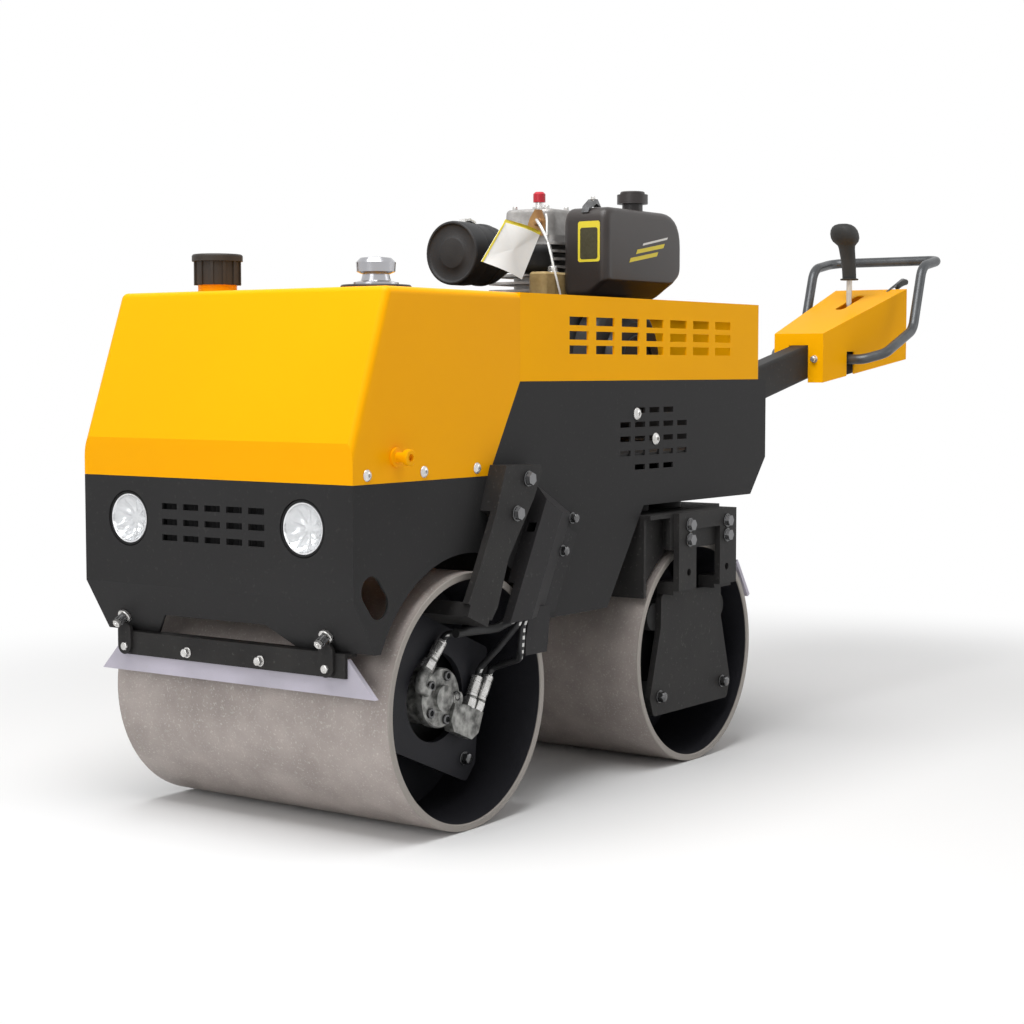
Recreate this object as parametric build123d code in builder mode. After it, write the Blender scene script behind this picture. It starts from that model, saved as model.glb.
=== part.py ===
from build123d import *
from math import atan2, cos, radians, sin, tan
import os

os.makedirs("parts", exist_ok=True)

# Walk-behind double-drum road roller. Millimetres, +Z up, the ground at Z = 0.
# -Y is the front, where the lamps are; the operator walks behind, at +Y, and
# +X is the machine's left side. The origin is under the middle of the machine.

# ---------------------------------------------------------------- driving sizes
# Drums and wheelbase
drum_diameter = 425.0
drum_width = 600.0
drum_wall = 12.0
wheelbase = 726.5
end_depth = 150.0            # recess of each drum's open end, down to its web
web_thickness = 10.0
hub_diameter = 150.0
hub_reach = 14.0             # hub flange stands out of the web by this
axle_diameter = 60.0

# Machine ends
nose_gap = 73.0              # front panel ahead of the front drum
tail_reach = 286.5           # rear panel behind the rear axle
handle_length = 1199.5       # rear panel to the back of the operator's grip

# Body
side_inset = 7.5             # side covers inside the drums' ends
sheet = 4.0                  # wall of the painted covers
seam = 0.3                   # joint left between two covers
plate = 8.0                  # frame plate
apron_rise = 102.5           # lower edge of the front apron above the axles
apron_height = 86.0
panel_height = 177.5         # apron's bend to the paint line
shoulder_height = 154.5      # paint line to the foot of the engine guard
guard_height = 149.0
apron_setback = 50.5
arch_gap = 30.5              # wheel arch outside the front drum
skirt_rise = 112.5           # panel bottom between the drums, above the axles
skirt_ahead = 304.5          # the skirt ends ahead of the rear axle by this
tail_ahead = 181.5           # the tail floor begins ahead of the rear axle by this
tail_rise = 290.5            # tail floor above the axles
kick_run, kick_height = 61.0, 73.0
deck_rise = 97.0             # engine deck above the tail floor

# Hood over the water and oil tanks
brow_height = 63.0           # upright foot of the hood
hood_lean = 86.0             # the front face leans back by this up to the top
hood_length = 435.5          # along the top
hood_foot = 346.5            # along its lower edge
hood_round = 12.0

# Engine guard
guard_inset = 24.0           # its back wall stands ahead of the rear panel
guard_flange = 26.0          # width of the folded top flange
slot_rows, slot_columns = 3, 7
guard_slot_length, guard_slot_height = 60.0, 15.0
guard_slot_pitch_y, guard_slot_pitch_z = 84.5, 25.0
guard_slots_back = 12.5      # slots behind the middle of the bay
guard_slots_drop = 69.5      # below the top

# Clearances
running_gap = 6.0            # fixed pieces beside a turning drum
bearing_gap = 0.3
seat_gap = 0.3
scraper_gap = 6.0

# ------------------------------------------------------------------- datums
drum_radius = drum_diameter / 2
rim_inner = drum_radius - drum_wall
half_drum = drum_width / 2
axle_z = drum_radius
front_overhang = drum_radius + nose_gap
body_length = front_overhang + wheelbase + tail_reach
overall_length = body_length + handle_length
body_front = -overall_length / 2
body_back = body_front + body_length
handle_end = body_back + handle_length
front_axle_y = body_front + front_overhang
rear_axle_y = front_axle_y + wheelbase
half_body = half_drum - side_inset
body_width = 2 * half_body
inner_half = half_body - sheet
web_station = half_drum - end_depth
apron_bottom_z = axle_z + apron_rise
apron_break_z = apron_bottom_z + apron_height
paint_line_z = apron_break_z + panel_height
guard_line_z = paint_line_z + shoulder_height
top_z = guard_line_z + guard_height
hood_brow_z = paint_line_z + brow_height
skirt_z = axle_z + skirt_rise
tail_z = axle_z + tail_rise
kick_z = tail_z + kick_height
deck_z = tail_z + deck_rise
arch_radius = drum_radius + arch_gap
hood_back = body_front + hood_length
hood_foot_y = body_front + hood_foot
guard_back = body_back - guard_inset
bay_middle = (hood_back + guard_back) / 2
apron_back = body_front + apron_setback
skirt_end_y = rear_axle_y - skirt_ahead
tail_start_y = rear_axle_y - tail_ahead
tail_end_y = body_back - kick_run

# ------------------------------------------------------------------- drums
# Each drum is an open steel shell with two recessed webs on a central hub tube.
for name, axle_y in (("front", front_axle_y), ("rear", rear_axle_y)):
    with BuildPart() as shell:
        with BuildSketch(Plane.YZ.offset(-half_drum)):
            with Locations((axle_y, axle_z)):
                Circle(drum_radius)
                Circle(rim_inner, mode=Mode.SUBTRACT)
        extrude(amount=drum_width)
        chamfer(shell.edges().filter_by(GeomType.CIRCLE), 1.5)
    shell.part.label = f"{name}_drum_shell"
    export_step(shell.part, f"parts/{name}_drum_shell.step")

    with BuildPart() as hub:
        with BuildSketch(Plane.YZ.offset(-web_station - hub_reach)):
            with Locations((axle_y, axle_z)):
                Circle(hub_diameter / 2)
        extrude(amount=2 * (web_station + hub_reach))
        for start in (-web_station, web_station - web_thickness):
            with BuildSketch(Plane.YZ.offset(start)):
                with Locations((axle_y, axle_z)):
                    Circle(rim_inner)
            extrude(amount=web_thickness)
        with BuildSketch(Plane.YZ.offset(-web_station - hub_reach)):
            with Locations((axle_y, axle_z)):
                Circle(axle_diameter / 2 + bearing_gap)
        extrude(amount=2 * (web_station + hub_reach), mode=Mode.SUBTRACT)
    hub.part.label = f"{name}_drum_hub"
    export_step(hub.part, f"parts/{name}_drum_hub.step")

# ------------------------------------------------------------------- black side panels
# Each is cut round the front drum and has rows of vent slots beside the engine
# and a slanting hand hole in the nose.
vent_row_counts = (3, 5, 5, 5, 3)      # slots in each row, from the lowest up
vent_pitch_y, vent_pitch_z = 50.0, 26.0
vent_length, vent_height = 35.0, 10.0
vents_back, vents_drop = 12.0, 106.5   # behind the middle of the bay, below the guard line
hand_hole_length, hand_hole_width, hand_hole_turn = 75.0, 47.0, -52.0
hand_hole_back, hand_hole_rise = 51.0, 2.5    # behind the nose, above the apron's bend

with BuildPart() as side_panel_left:
    with BuildSketch(Plane.YZ.offset(inner_half)):
        with BuildLine():
            Polyline(
                (body_front, paint_line_z),
                (body_front, apron_break_z),
                (apron_back, apron_bottom_z),
                (front_axle_y, apron_bottom_z),
                (front_axle_y, skirt_z),
                (skirt_end_y, skirt_z),
                (tail_start_y, tail_z),
                (tail_end_y, tail_z),
                (body_back, kick_z),
                (body_back, guard_line_z),
                (hood_back, guard_line_z),
                (hood_foot_y, paint_line_z),
                close=True,
            )
        make_face()
        with Locations((front_axle_y, axle_z)):
            Circle(arch_radius, mode=Mode.SUBTRACT)
        with Locations((body_front + hand_hole_back, apron_break_z + hand_hole_rise)):
            SlotOverall(
                hand_hole_length, hand_hole_width, rotation=hand_hole_turn, mode=Mode.SUBTRACT
            )
        for row, count in enumerate(vent_row_counts):
            row_z = guard_line_z - vents_drop + (row - len(vent_row_counts) // 2) * vent_pitch_z
            with Locations((bay_middle + vents_back, row_z)):
                with GridLocations(vent_pitch_y, vent_pitch_z, count, 1):
                    Rectangle(vent_length, vent_height, mode=Mode.SUBTRACT)
    extrude(amount=sheet)
side_panel_left.part.label = "side_panel_left"
export_step(side_panel_left.part, "parts/side_panel_left.step")

with BuildPart() as side_panel_right:
    mirror(side_panel_left.part, about=Plane.YZ)
side_panel_right.part.label = "side_panel_right"
export_step(side_panel_right.part, "parts/side_panel_right.step")

# ------------------------------------------------------------------- front panel
# A folded sheet between the side panels, with lamp holes, a slotted grille and
# an apron that turns back under, notched over the drum.
lamp_inset, lamp_drop, lamp_hole = 102.5, 69.5, 92.0
grille_rows, grille_columns = 3, 5
grille_pitch_x, grille_pitch_z, grille_drop = 47.5, 25.5, 72.0
grille_slot_length, grille_slot_height = 34.0, 10.0
# Corners of the notch: x, height above the apron's lower edge
apron_notch = ((-174.0, 0.0), (-140.0, 34.0), (84.0, 34.0), (134.0, 0.0))
lamp_x = half_body - lamp_inset
lamp_z = paint_line_z - lamp_drop
apron_angle = atan2(apron_setback, apron_height)
fold = sheet * tan(apron_angle / 2)

with BuildPart() as front_panel:
    with BuildSketch(Plane.YZ.offset(-inner_half)):
        with BuildLine():
            Polyline(
                (body_front, paint_line_z),
                (body_front, apron_break_z),
                (apron_back, apron_bottom_z),
                (apron_back + sheet / cos(apron_angle), apron_bottom_z),
                (body_front + sheet, apron_break_z + fold),
                (body_front + sheet, paint_line_z),
                close=True,
            )
        make_face()
    extrude(amount=2 * inner_half)
    with BuildSketch(Plane.XZ.offset(-body_front)):
        with Locations((lamp_x, lamp_z), (-lamp_x, lamp_z)):
            Circle(lamp_hole / 2)
        with Locations((0, paint_line_z - grille_drop)):
            with GridLocations(grille_pitch_x, grille_pitch_z, grille_columns, grille_rows):
                Rectangle(grille_slot_length, grille_slot_height)
        with BuildLine():
            Polyline(*[(x, apron_bottom_z + rise) for x, rise in apron_notch], close=True)
        make_face()
    extrude(amount=-apron_setback - 3 * sheet, mode=Mode.SUBTRACT)
front_panel.part.label = "front_panel"
export_step(front_panel.part, "parts/front_panel.step")

# ------------------------------------------------------------------- rear panel
kick_angle = atan2(kick_run, kick_height)
rear_fold = sheet * tan(kick_angle / 2)
with BuildPart() as rear_panel:
    with BuildSketch(Plane.YZ.offset(-inner_half)):
        with BuildLine():
            Polyline(
                (body_back, guard_line_z),
                (body_back, kick_z),
                (tail_end_y, tail_z),
                (tail_end_y - sheet / cos(kick_angle), tail_z),
                (body_back - sheet, kick_z + rear_fold),
                (body_back - sheet, guard_line_z),
                close=True,
            )
        make_face()
    extrude(amount=2 * inner_half)
rear_panel.part.label = "rear_panel"
export_step(rear_panel.part, "parts/rear_panel.step")

# ------------------------------------------------------------------- hood
# One welded cover, open below; the short neck of the water tank stands on it.
hood_bottom_z = paint_line_z + seam
cap_back = 185.5             # both caps behind the nose
filler_x, filler_neck_diameter, neck_height = 131.5 - half_body, 66.0, 14.0
cap_y = body_front + cap_back
with BuildPart() as front_hood:
    with BuildSketch(Plane.YZ.offset(-half_body)):
        with BuildLine():
            Polyline(
                (body_front, hood_bottom_z),
                (body_front, hood_brow_z),
                (body_front + hood_lean, top_z),
                (hood_back, top_z),
                (hood_back, guard_line_z + seam),
                (hood_foot_y, hood_bottom_z),
                close=True,
            )
        make_face()
    extrude(amount=body_width)
    front_edges = front_hood.edges().filter_by(
        lambda edge: edge.center().Y < body_front + hood_lean + 1
        and edge.center().Z > hood_brow_z + 1
    )
    top_edges = front_hood.edges().filter_by(
        lambda edge: abs(edge.center().Z - top_z) < 0.1 and abs(edge.center().X) > 1
    )
    fillet(front_edges + top_edges, hood_round)
    hood_open = [
        face for face in front_hood.faces()
        if face.normal_at().Z < -0.1 and face.center().Z < guard_line_z
    ]
    offset(amount=-sheet, openings=hood_open)
    with BuildSketch(Plane.XY.offset(top_z)):
        with Locations((filler_x, cap_y)):
            Circle(filler_neck_diameter / 2)
    extrude(amount=neck_height)
front_hood.part.label = "front_hood"
export_step(front_hood.part, "parts/front_hood.step")

# ------------------------------------------------------------------- engine guard
# Left, back and right walls in one folded sheet with an inward top flange.
guard_bottom_z = guard_line_z + seam
guard_front = hood_back + seam
guard_depth = guard_back - guard_front
guard_middle = (guard_front + guard_back) / 2
with BuildPart() as engine_guard:
    with BuildSketch(Plane.XY.offset(guard_bottom_z)):
        with Locations((0, guard_middle)):
            Rectangle(body_width, guard_depth)
    extrude(amount=top_z - guard_bottom_z)
    corner_edges = engine_guard.edges().filter_by(Axis.Z).group_by(Axis.Y)[-1]
    fillet(corner_edges, hood_round)
    with BuildSketch(Plane.XY.offset(guard_bottom_z)):
        with Locations((0, guard_middle - sheet)):
            Rectangle(body_width - 2 * sheet, guard_depth)
    extrude(amount=top_z - sheet - guard_bottom_z, mode=Mode.SUBTRACT)
    with BuildSketch(Plane.XY.offset(top_z - sheet)):
        with Locations((0, guard_middle - guard_flange)):
            Rectangle(body_width - 2 * guard_flange, guard_depth)
    extrude(amount=sheet, mode=Mode.SUBTRACT)
    with BuildSketch(Plane.YZ.offset(-half_body)):
        with Locations((bay_middle + guard_slots_back, top_z - guard_slots_drop)):
            with GridLocations(guard_slot_pitch_y, guard_slot_pitch_z, slot_columns, slot_rows):
                Rectangle(guard_slot_length, guard_slot_height)
    extrude(amount=body_width, mode=Mode.SUBTRACT)
engine_guard.part.label = "engine_guard"
export_step(engine_guard.part, "parts/engine_guard.step")

# ------------------------------------------------------------------- main frame
# Side cheeks over the front drum, a bulkhead behind it, a folded floor that
# follows the side panels, the engine deck and a plate behind the rear panel.
frame_half = inner_half - seat_gap
cheek_foot = 110.0           # foot of the cheeks' front edge below the paint line
cheek_gap = 6.5              # top of the cheeks below the paint line
bulkhead_gap = 16.0          # bulkhead behind the front drum
bulkhead_y = front_axle_y + drum_radius + bulkhead_gap
rail_x, rail_width = 160.0, 60.0
frame_front = body_front + sheet + seat_gap
frame_back = body_back - sheet - seat_gap
floor_end = tail_end_y - 3 * sheet
with BuildPart() as main_frame:
    for start in (-frame_half, frame_half - plate):
        with BuildSketch(Plane.YZ.offset(start)):
            with BuildLine():
                Polyline(
                    (frame_front, paint_line_z - cheek_foot),
                    (frame_front, paint_line_z - cheek_gap),
                    (bulkhead_y + plate, paint_line_z - cheek_gap),
                    (bulkhead_y + plate, skirt_z + plate),
                    (front_axle_y, skirt_z + plate),
                    close=True,
                )
            make_face()
            with Locations((front_axle_y, axle_z)):
                Circle(arch_radius + plate, mode=Mode.SUBTRACT)
        extrude(amount=plate)
    with BuildSketch(Plane.YZ.offset(-frame_half)):
        with BuildLine():
            Polyline(
                (bulkhead_y, deck_z),
                (bulkhead_y, skirt_z),
                (skirt_end_y, skirt_z),
                (tail_start_y, tail_z),
                (floor_end, tail_z),
                (floor_end, tail_z + plate),
                (tail_start_y - plate, tail_z + plate),
                (skirt_end_y - plate, skirt_z + plate),
                (bulkhead_y + plate, skirt_z + plate),
                (bulkhead_y + plate, deck_z - plate),
                (frame_back, deck_z - plate),
                (frame_back, deck_z),
                close=True,
            )
        make_face()
    extrude(amount=2 * frame_half)
    for x in (-rail_x, rail_x):
        with BuildSketch(Plane.XZ.offset(-tail_start_y)):
            with Locations((x, (tail_z + deck_z) / 2)):
                Rectangle(rail_width, deck_z - tail_z - plate)
                Rectangle(rail_width - 2 * plate, deck_z - tail_z - 3 * plate, mode=Mode.SUBTRACT)
        extrude(amount=tail_start_y - floor_end)
    with BuildSketch(Plane.XZ.offset(-frame_back)):
        with Locations((0, (deck_z + guard_line_z) / 2)):
            Rectangle(2 * rail_x, guard_line_z - deck_z)
    extrude(amount=plate)
main_frame.part.label = "main_frame"
export_step(main_frame.part, "parts/main_frame.step")

# ------------------------------------------------------------------- drum carriers
# Each drum hangs in a yoke with an outer fork plate at each end. Arms reach from
# the forks into the drum's open ends, to hanger plates; these hold rubber
# buffers, a bearing plate and the stub axle. The front carrier leans back about
# its axle.
front_lean, rear_lean = 22.7, 0.0
fork_thickness = 12.0
yoke_end = 8.0               # thickness of the yoke's end plates
yoke_front = drum_radius - 20.5
yoke_top = drum_radius + 59.5
yoke_skirt = 118.0           # foot of the front wall above the axle
yoke_gusset_start, yoke_gusset_end = 280.0, 288.0
yoke_gusset_back = 97.0
yoke_end_front, yoke_end_low = -122.0, 203.0
fork_half, fork_slot_half = 109.0, 45.0
fork_bottom, fork_slot_top = drum_radius - 86.5, drum_radius + 27.5
fork_x = half_drum + running_gap + yoke_end
hanger_thickness = 12.0
hanger_recess, motor_recess = 10.0, 74.0     # the latter behind the drive motor
hanger_station = half_drum - hanger_recess
motor_hanger_station = half_drum - motor_recess
hanger_top = 0.555 * drum_radius
# Corners of one half of a hanger, in drum radii from the axle
hanger_outline = ((0.53, 0.555), (0.536, 0.26), (0.715, -0.353), (0.654, -0.52))
hanger_corner = 10.0
motor_hole = 150.0
arm_height = 24.0
buffer_diameter, buffer_length = 52.0, 34.0
buffer_y, buffer_z = 0.555 * drum_radius, 0.353 * drum_radius
bearing_plate = 10.0
housing_diameter = 120.0
mount_x, mount_y, mount_shift, mount_diameter = 200.0, 60.0, -20.0, 70.0
lashing_hole, lashing_rise, lashing_y = 14.0, 33.0, 72.0
# Bolt heads on the forks: (along, out from the drum's surface) in the leaning plane
fork_bolt_across, fork_bolt_reach = 19.0, 10.0
rear_fork_bolts = ((-71.0, 8.0), (-71.0, 36.0), (71.0, 8.0), (71.0, 36.0))
front_fork_bolts = ((-22.5, 168.0), (-31.0, 103.5))


def carrier_plane(x, axle_y, lean):
    """Plane across the machine at x, turned about the axle with its carrier."""
    tilt = radians(lean)
    return Plane(origin=(x, axle_y, axle_z), x_dir=(0, cos(tilt), -sin(tilt)), z_dir=(1, 0, 0))


with BuildPart() as rear_yoke:
    with BuildSketch(carrier_plane(-fork_x, rear_axle_y, rear_lean)):
        with Locations(((fork_half - yoke_front) / 2, yoke_top - plate / 2)):
            Rectangle(fork_half + yoke_front, plate)
    extrude(amount=2 * fork_x)
    with BuildSketch(carrier_plane(-half_drum, rear_axle_y, rear_lean)):
        with Locations(((plate - 2 * yoke_front) / 2, (yoke_skirt + yoke_top) / 2)):
            Rectangle(plate, yoke_top - yoke_skirt)
    extrude(amount=drum_width)
    for side in (-1, 1):
        with BuildSketch(carrier_plane(side * yoke_gusset_start, rear_axle_y, rear_lean)):
            with BuildLine():
                Polyline(
                    (-yoke_front, yoke_skirt),
                    (-yoke_front, yoke_top),
                    (-yoke_gusset_back, yoke_top),
                    (-yoke_gusset_back, yoke_skirt),
                    close=True,
                )
            make_face()
            Circle(drum_radius + running_gap, mode=Mode.SUBTRACT)
        extrude(amount=side * (yoke_gusset_end - yoke_gusset_start))
        with BuildSketch(carrier_plane(side * (fork_x - yoke_end), rear_axle_y, rear_lean)):
            with BuildLine():
                Polyline(
                    (yoke_end_front, yoke_end_low),
                    (yoke_end_front, yoke_top),
                    (fork_half, yoke_top),
                    (fork_half, yoke_end_low),
                    close=True,
                )
            make_face()
        extrude(amount=side * yoke_end)
        with BuildSketch(carrier_plane(side * yoke_gusset_start, rear_axle_y, rear_lean)):
            with Locations((-yoke_gusset_back - plate / 2, (yoke_end_low + yoke_top) / 2)):
                Rectangle(plate, yoke_top - yoke_end_low)
        extrude(amount=side * (fork_x - yoke_end - yoke_gusset_start))
    with BuildSketch(Plane.XY.offset(axle_z + yoke_top)):
        with Locations((0, rear_axle_y + mount_shift)):
            with GridLocations(2 * mount_x, 2 * mount_y, 2, 2):
                Circle(mount_diameter / 2)
    extrude(amount=tail_rise - seat_gap - yoke_top)
rear_yoke.part.label = "rear_yoke"
export_step(rear_yoke.part, "parts/rear_yoke.step")

arm_inner = hanger_station - hanger_thickness
leg_middle = (fork_half + fork_slot_half) / 2
with BuildPart() as rear_fork_left:
    with BuildSketch(carrier_plane(fork_x, rear_axle_y, rear_lean)):
        with Locations((0, (fork_bottom + yoke_top) / 2)):
            Rectangle(2 * fork_half, yoke_top - fork_bottom)
        with Locations((0, (fork_bottom + fork_slot_top) / 2)):
            Rectangle(2 * fork_slot_half, fork_slot_top - fork_bottom, mode=Mode.SUBTRACT)
        with Locations(
            (-lashing_y, fork_bottom + lashing_rise), (lashing_y, fork_bottom + lashing_rise)
        ):
            Circle(lashing_hole / 2, mode=Mode.SUBTRACT)
    extrude(amount=fork_thickness)
    with BuildSketch(carrier_plane(arm_inner, rear_axle_y, rear_lean)):
        with Locations((0, hanger_top + arm_height / 2)):
            with GridLocations(2 * leg_middle, arm_height, 2, 1):
                Rectangle(fork_half - fork_slot_half, arm_height)
    extrude(amount=fork_x - arm_inner)
    with BuildSketch(carrier_plane(fork_x + fork_thickness, rear_axle_y, rear_lean)):
        with Locations(*[(y, drum_radius + out) for y, out in rear_fork_bolts]):
            RegularPolygon(fork_bolt_across / 2, 6, major_radius=False)
    extrude(amount=fork_bolt_reach)
rear_fork_left.part.label = "rear_fork_left"
export_step(rear_fork_left.part, "parts/rear_fork_left.step")
with BuildPart() as rear_fork_right:
    mirror(rear_fork_left.part, about=Plane.YZ)
rear_fork_right.part.label = "rear_fork_right"
export_step(rear_fork_right.part, "parts/rear_fork_right.step")

# The front yoke is a box beam between the frame's cheeks.
front_beam_low, front_beam_high = drum_radius + 87.5, drum_radius + 182.5
front_beam_half = 55.0
beam_half = frame_half - plate
with BuildPart() as front_yoke:
    with BuildSketch(carrier_plane(-beam_half, front_axle_y, front_lean)):
        with Locations((0, (front_beam_low + front_beam_high) / 2)):
            Rectangle(2 * front_beam_half, front_beam_high - front_beam_low)
            Rectangle(
                2 * front_beam_half - 2 * plate,
                front_beam_high - front_beam_low - 2 * plate,
                mode=Mode.SUBTRACT,
            )
    extrude(amount=2 * beam_half)
front_yoke.part.label = "front_yoke"
export_step(front_yoke.part, "parts/front_yoke.step")

# A front fork's leg: (along the machine, out from the drum's surface), both in
# its leaning plane; the top corners lie level on the machine.
front_leg = (
    (-101.0, -74.5),
    (-94.0, -15.5),
    (-86.0, 82.5),
    (-89.0, 166.5),
    (2.0, 202.5),
    (12.0, 193.5),
    (6.0, 142.5),
    (-24.0, 27.5),
    (-22.0, -55.5),
    (-30.0, -81.5),
)
leg_block = ((-86.0, 88.0), (-89.0, 166.5), (2.0, 202.5), (12.0, 193.5), (6.0, 142.5), (-8.0, 88.0))
front_arm_front, front_arm_back = -95.0, -36.0
for name, side, station in (("left", 1, motor_hanger_station), ("right", -1, hanger_station)):
    with BuildPart() as fork:
        with BuildSketch(carrier_plane(side * fork_x, front_axle_y, front_lean)):
            with BuildLine():
                Polyline(*[(y, drum_radius + out) for y, out in front_leg], close=True)
            make_face()
        extrude(amount=side * fork_thickness)
        with BuildSketch(carrier_plane(side * half_body, front_axle_y, front_lean)):
            with BuildLine():
                Polyline(*[(y, drum_radius + out) for y, out in leg_block], close=True)
            make_face()
        extrude(amount=side * (fork_x - half_body))
        with BuildSketch(
            carrier_plane(side * (station - hanger_thickness), front_axle_y, front_lean)
        ):
            with Locations(((front_arm_front + front_arm_back) / 2, hanger_top + arm_height / 2)):
                Rectangle(front_arm_back - front_arm_front, arm_height)
        extrude(amount=side * (fork_x + fork_thickness - station + hanger_thickness))
        with BuildSketch(
            carrier_plane(side * (fork_x + fork_thickness), front_axle_y, front_lean)
        ):
            with Locations(*[(y, drum_radius + out) for y, out in front_fork_bolts]):
                RegularPolygon(fork_bolt_across / 2, 6, major_radius=False)
        extrude(amount=side * fork_bolt_reach)
    fork.part.label = f"front_fork_{name}"
    export_step(fork.part, f"parts/front_fork_{name}.step")

# Hangers and axle mounts: (drum, side, sign of the side, station of the hanger's outer face)
hangers = (
    ("front", "left", 1, motor_hanger_station),
    ("front", "right", -1, hanger_station),
    ("rear", "left", 1, hanger_station),
    ("rear", "right", -1, hanger_station),
)
housing_start = web_station + hub_reach + running_gap
for drum, name, side, station in hangers:
    axle_y, lean = (front_axle_y, front_lean) if drum == "front" else (rear_axle_y, rear_lean)
    hanger_face = station - hanger_thickness
    bearing_station = hanger_face - buffer_length - bearing_plate
    with BuildPart() as hanger:
        with BuildSketch(carrier_plane(side * hanger_face, axle_y, lean)) as plate_sketch:
            right = [(drum_radius * y, drum_radius * z) for y, z in hanger_outline]
            left = [(-y, z) for y, z in reversed(right)]
            with BuildLine():
                Polyline(*right, *left, close=True)
            make_face()
            fillet(plate_sketch.vertices(), hanger_corner)
            if station == motor_hanger_station:
                Circle(motor_hole / 2, mode=Mode.SUBTRACT)
        extrude(amount=side * hanger_thickness)
    hanger.part.label = f"{drum}_hanger_{name}"
    export_step(hanger.part, f"parts/{drum}_hanger_{name}.step")

    with BuildPart() as mount:
        with BuildSketch(carrier_plane(side * bearing_station, axle_y, lean)):
            RectangleRounded(
                2 * buffer_y + buffer_diameter, 2 * buffer_z + buffer_diameter, buffer_diameter / 2 - 1
            )
        extrude(amount=side * bearing_plate)
        with BuildSketch(carrier_plane(side * (bearing_station + bearing_plate), axle_y, lean)):
            with GridLocations(2 * buffer_y, 2 * buffer_z, 2, 2):
                Circle(buffer_diameter / 2)
        extrude(amount=side * buffer_length)
        if bearing_station > housing_start:
            with BuildSketch(carrier_plane(side * housing_start, axle_y, lean)):
                Circle(housing_diameter / 2)
            extrude(amount=side * (bearing_station - housing_start))
        with BuildSketch(carrier_plane(side * web_station / 2, axle_y, lean)):
            Circle(axle_diameter / 2)
        extrude(amount=side * (bearing_station - web_station / 2))
    mount.part.label = f"{drum}_axle_mount_{name}"
    export_step(mount.part, f"parts/{drum}_axle_mount_{name}.step")

# ------------------------------------------------------------------- hose covers
# A hollow wedge on each side panel behind the front fork. Its front wall leans
# back; the cover is open to the panel and at its foot, and has a bolting flange.
cover_lean = 27.8
cover_foot_y = front_axle_y + drum_radius - 113.5
cover_foot_z = axle_z + drum_radius - 55.0
cover_length, cover_depth = 186.5, 30.0
cover_flat, cover_slope_end, cover_flange_end = 54.0, 115.0, 145.0
cover_top_rise = 26.0        # the top slants up by this towards the panel
cover_hem_z = skirt_z + 10.0
cover_window, cover_window_rise = 18.0, 134.0
bulkhead_rise, bulkhead_width = 66.0, 56.0
# Corners of the plate that guards the hoses below the cover, from the cover's foot
tail_plate = (
    (43.0, -98.0),
    (106.0, -98.0),
    (115.0, -38.0),
    (115.0, -18.0),
    (53.0, -18.0),
    (50.0, -44.0),
    (43.0, -70.0),
)
lean_back = radians(cover_lean)


def cover_plane(rise):
    """Plane square to the cover's front wall, its local x outwards and y back."""
    return Plane(
        origin=(half_body, cover_foot_y + rise * sin(lean_back), cover_foot_z + rise * cos(lean_back)),
        x_dir=(1, 0, 0),
        z_dir=(0, sin(lean_back), cos(lean_back)),
    )


cover_front = Plane(
    origin=cover_plane(0).origin, x_dir=(1, 0, 0), z_dir=(0, -cos(lean_back), sin(lean_back))
)
with BuildPart() as side_bracket_left:
    with BuildSketch(cover_plane(-cover_flat)):
        with BuildLine():
            Polyline(
                (0, 0),
                (cover_depth, 0),
                (cover_depth, cover_flat),
                (sheet, cover_slope_end),
                (0, cover_slope_end),
                close=True,
            )
        make_face()
    extrude(amount=cover_length + cover_top_rise + cover_flat)
    with BuildSketch(cover_front):
        with BuildLine():
            Polyline(
                (0, cover_length + cover_top_rise),
                (cover_depth, cover_length),
                (cover_depth, cover_length + cover_top_rise),
                close=True,
            )
        make_face()
    extrude(amount=-cover_slope_end, mode=Mode.SUBTRACT)
    open_faces = [
        face for face in side_bracket_left.faces()
        if face.center().X < half_body + 0.1 or face.center().Z < cover_foot_z - cover_flat / 2
    ]
    offset(amount=-sheet, openings=open_faces)
    with BuildSketch(cover_plane(-cover_flat)):
        with Locations((sheet / 2, (cover_slope_end + cover_flange_end) / 2)):
            Rectangle(sheet, cover_flange_end - cover_slope_end + 2 * sheet)
    extrude(amount=cover_length + cover_flat)
    with BuildSketch(cover_front):
        with Locations((cover_depth / 2, cover_window_rise)):
            Rectangle(cover_window, cover_window)
    extrude(amount=-2 * sheet, mode=Mode.SUBTRACT)
    with BuildSketch(cover_plane(bulkhead_rise)):
        with Locations(((cover_depth - sheet) / 2, bulkhead_width / 2)):
            Rectangle(cover_depth - sheet, bulkhead_width)
    extrude(amount=sheet)
    with BuildSketch(Plane.YZ.offset(half_body)):
        with Locations((cover_foot_y, cover_hem_z - cover_length)):
            Rectangle(4 * cover_length, 2 * cover_length)
    extrude(amount=cover_depth, mode=Mode.SUBTRACT)
    with BuildSketch(Plane.YZ.offset(half_body)):
        with Locations((front_axle_y, axle_z)):
            Circle(drum_radius + running_gap)
    extrude(amount=half_drum + running_gap - half_body, mode=Mode.SUBTRACT)
    with BuildSketch(Plane.YZ.offset(half_drum + running_gap)):
        with BuildLine():
            Polyline(*[(cover_foot_y + y, cover_foot_z + z) for y, z in tail_plate], close=True)
        make_face()
    extrude(amount=sheet)
side_bracket_left.part.label = "side_bracket_left"
export_step(side_bracket_left.part, "parts/side_bracket_left.step")
with BuildPart() as side_bracket_right:
    mirror(side_bracket_left.part, about=Plane.YZ)
side_bracket_right.part.label = "side_bracket_right"
export_step(side_bracket_right.part, "parts/side_bracket_right.step")

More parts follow.
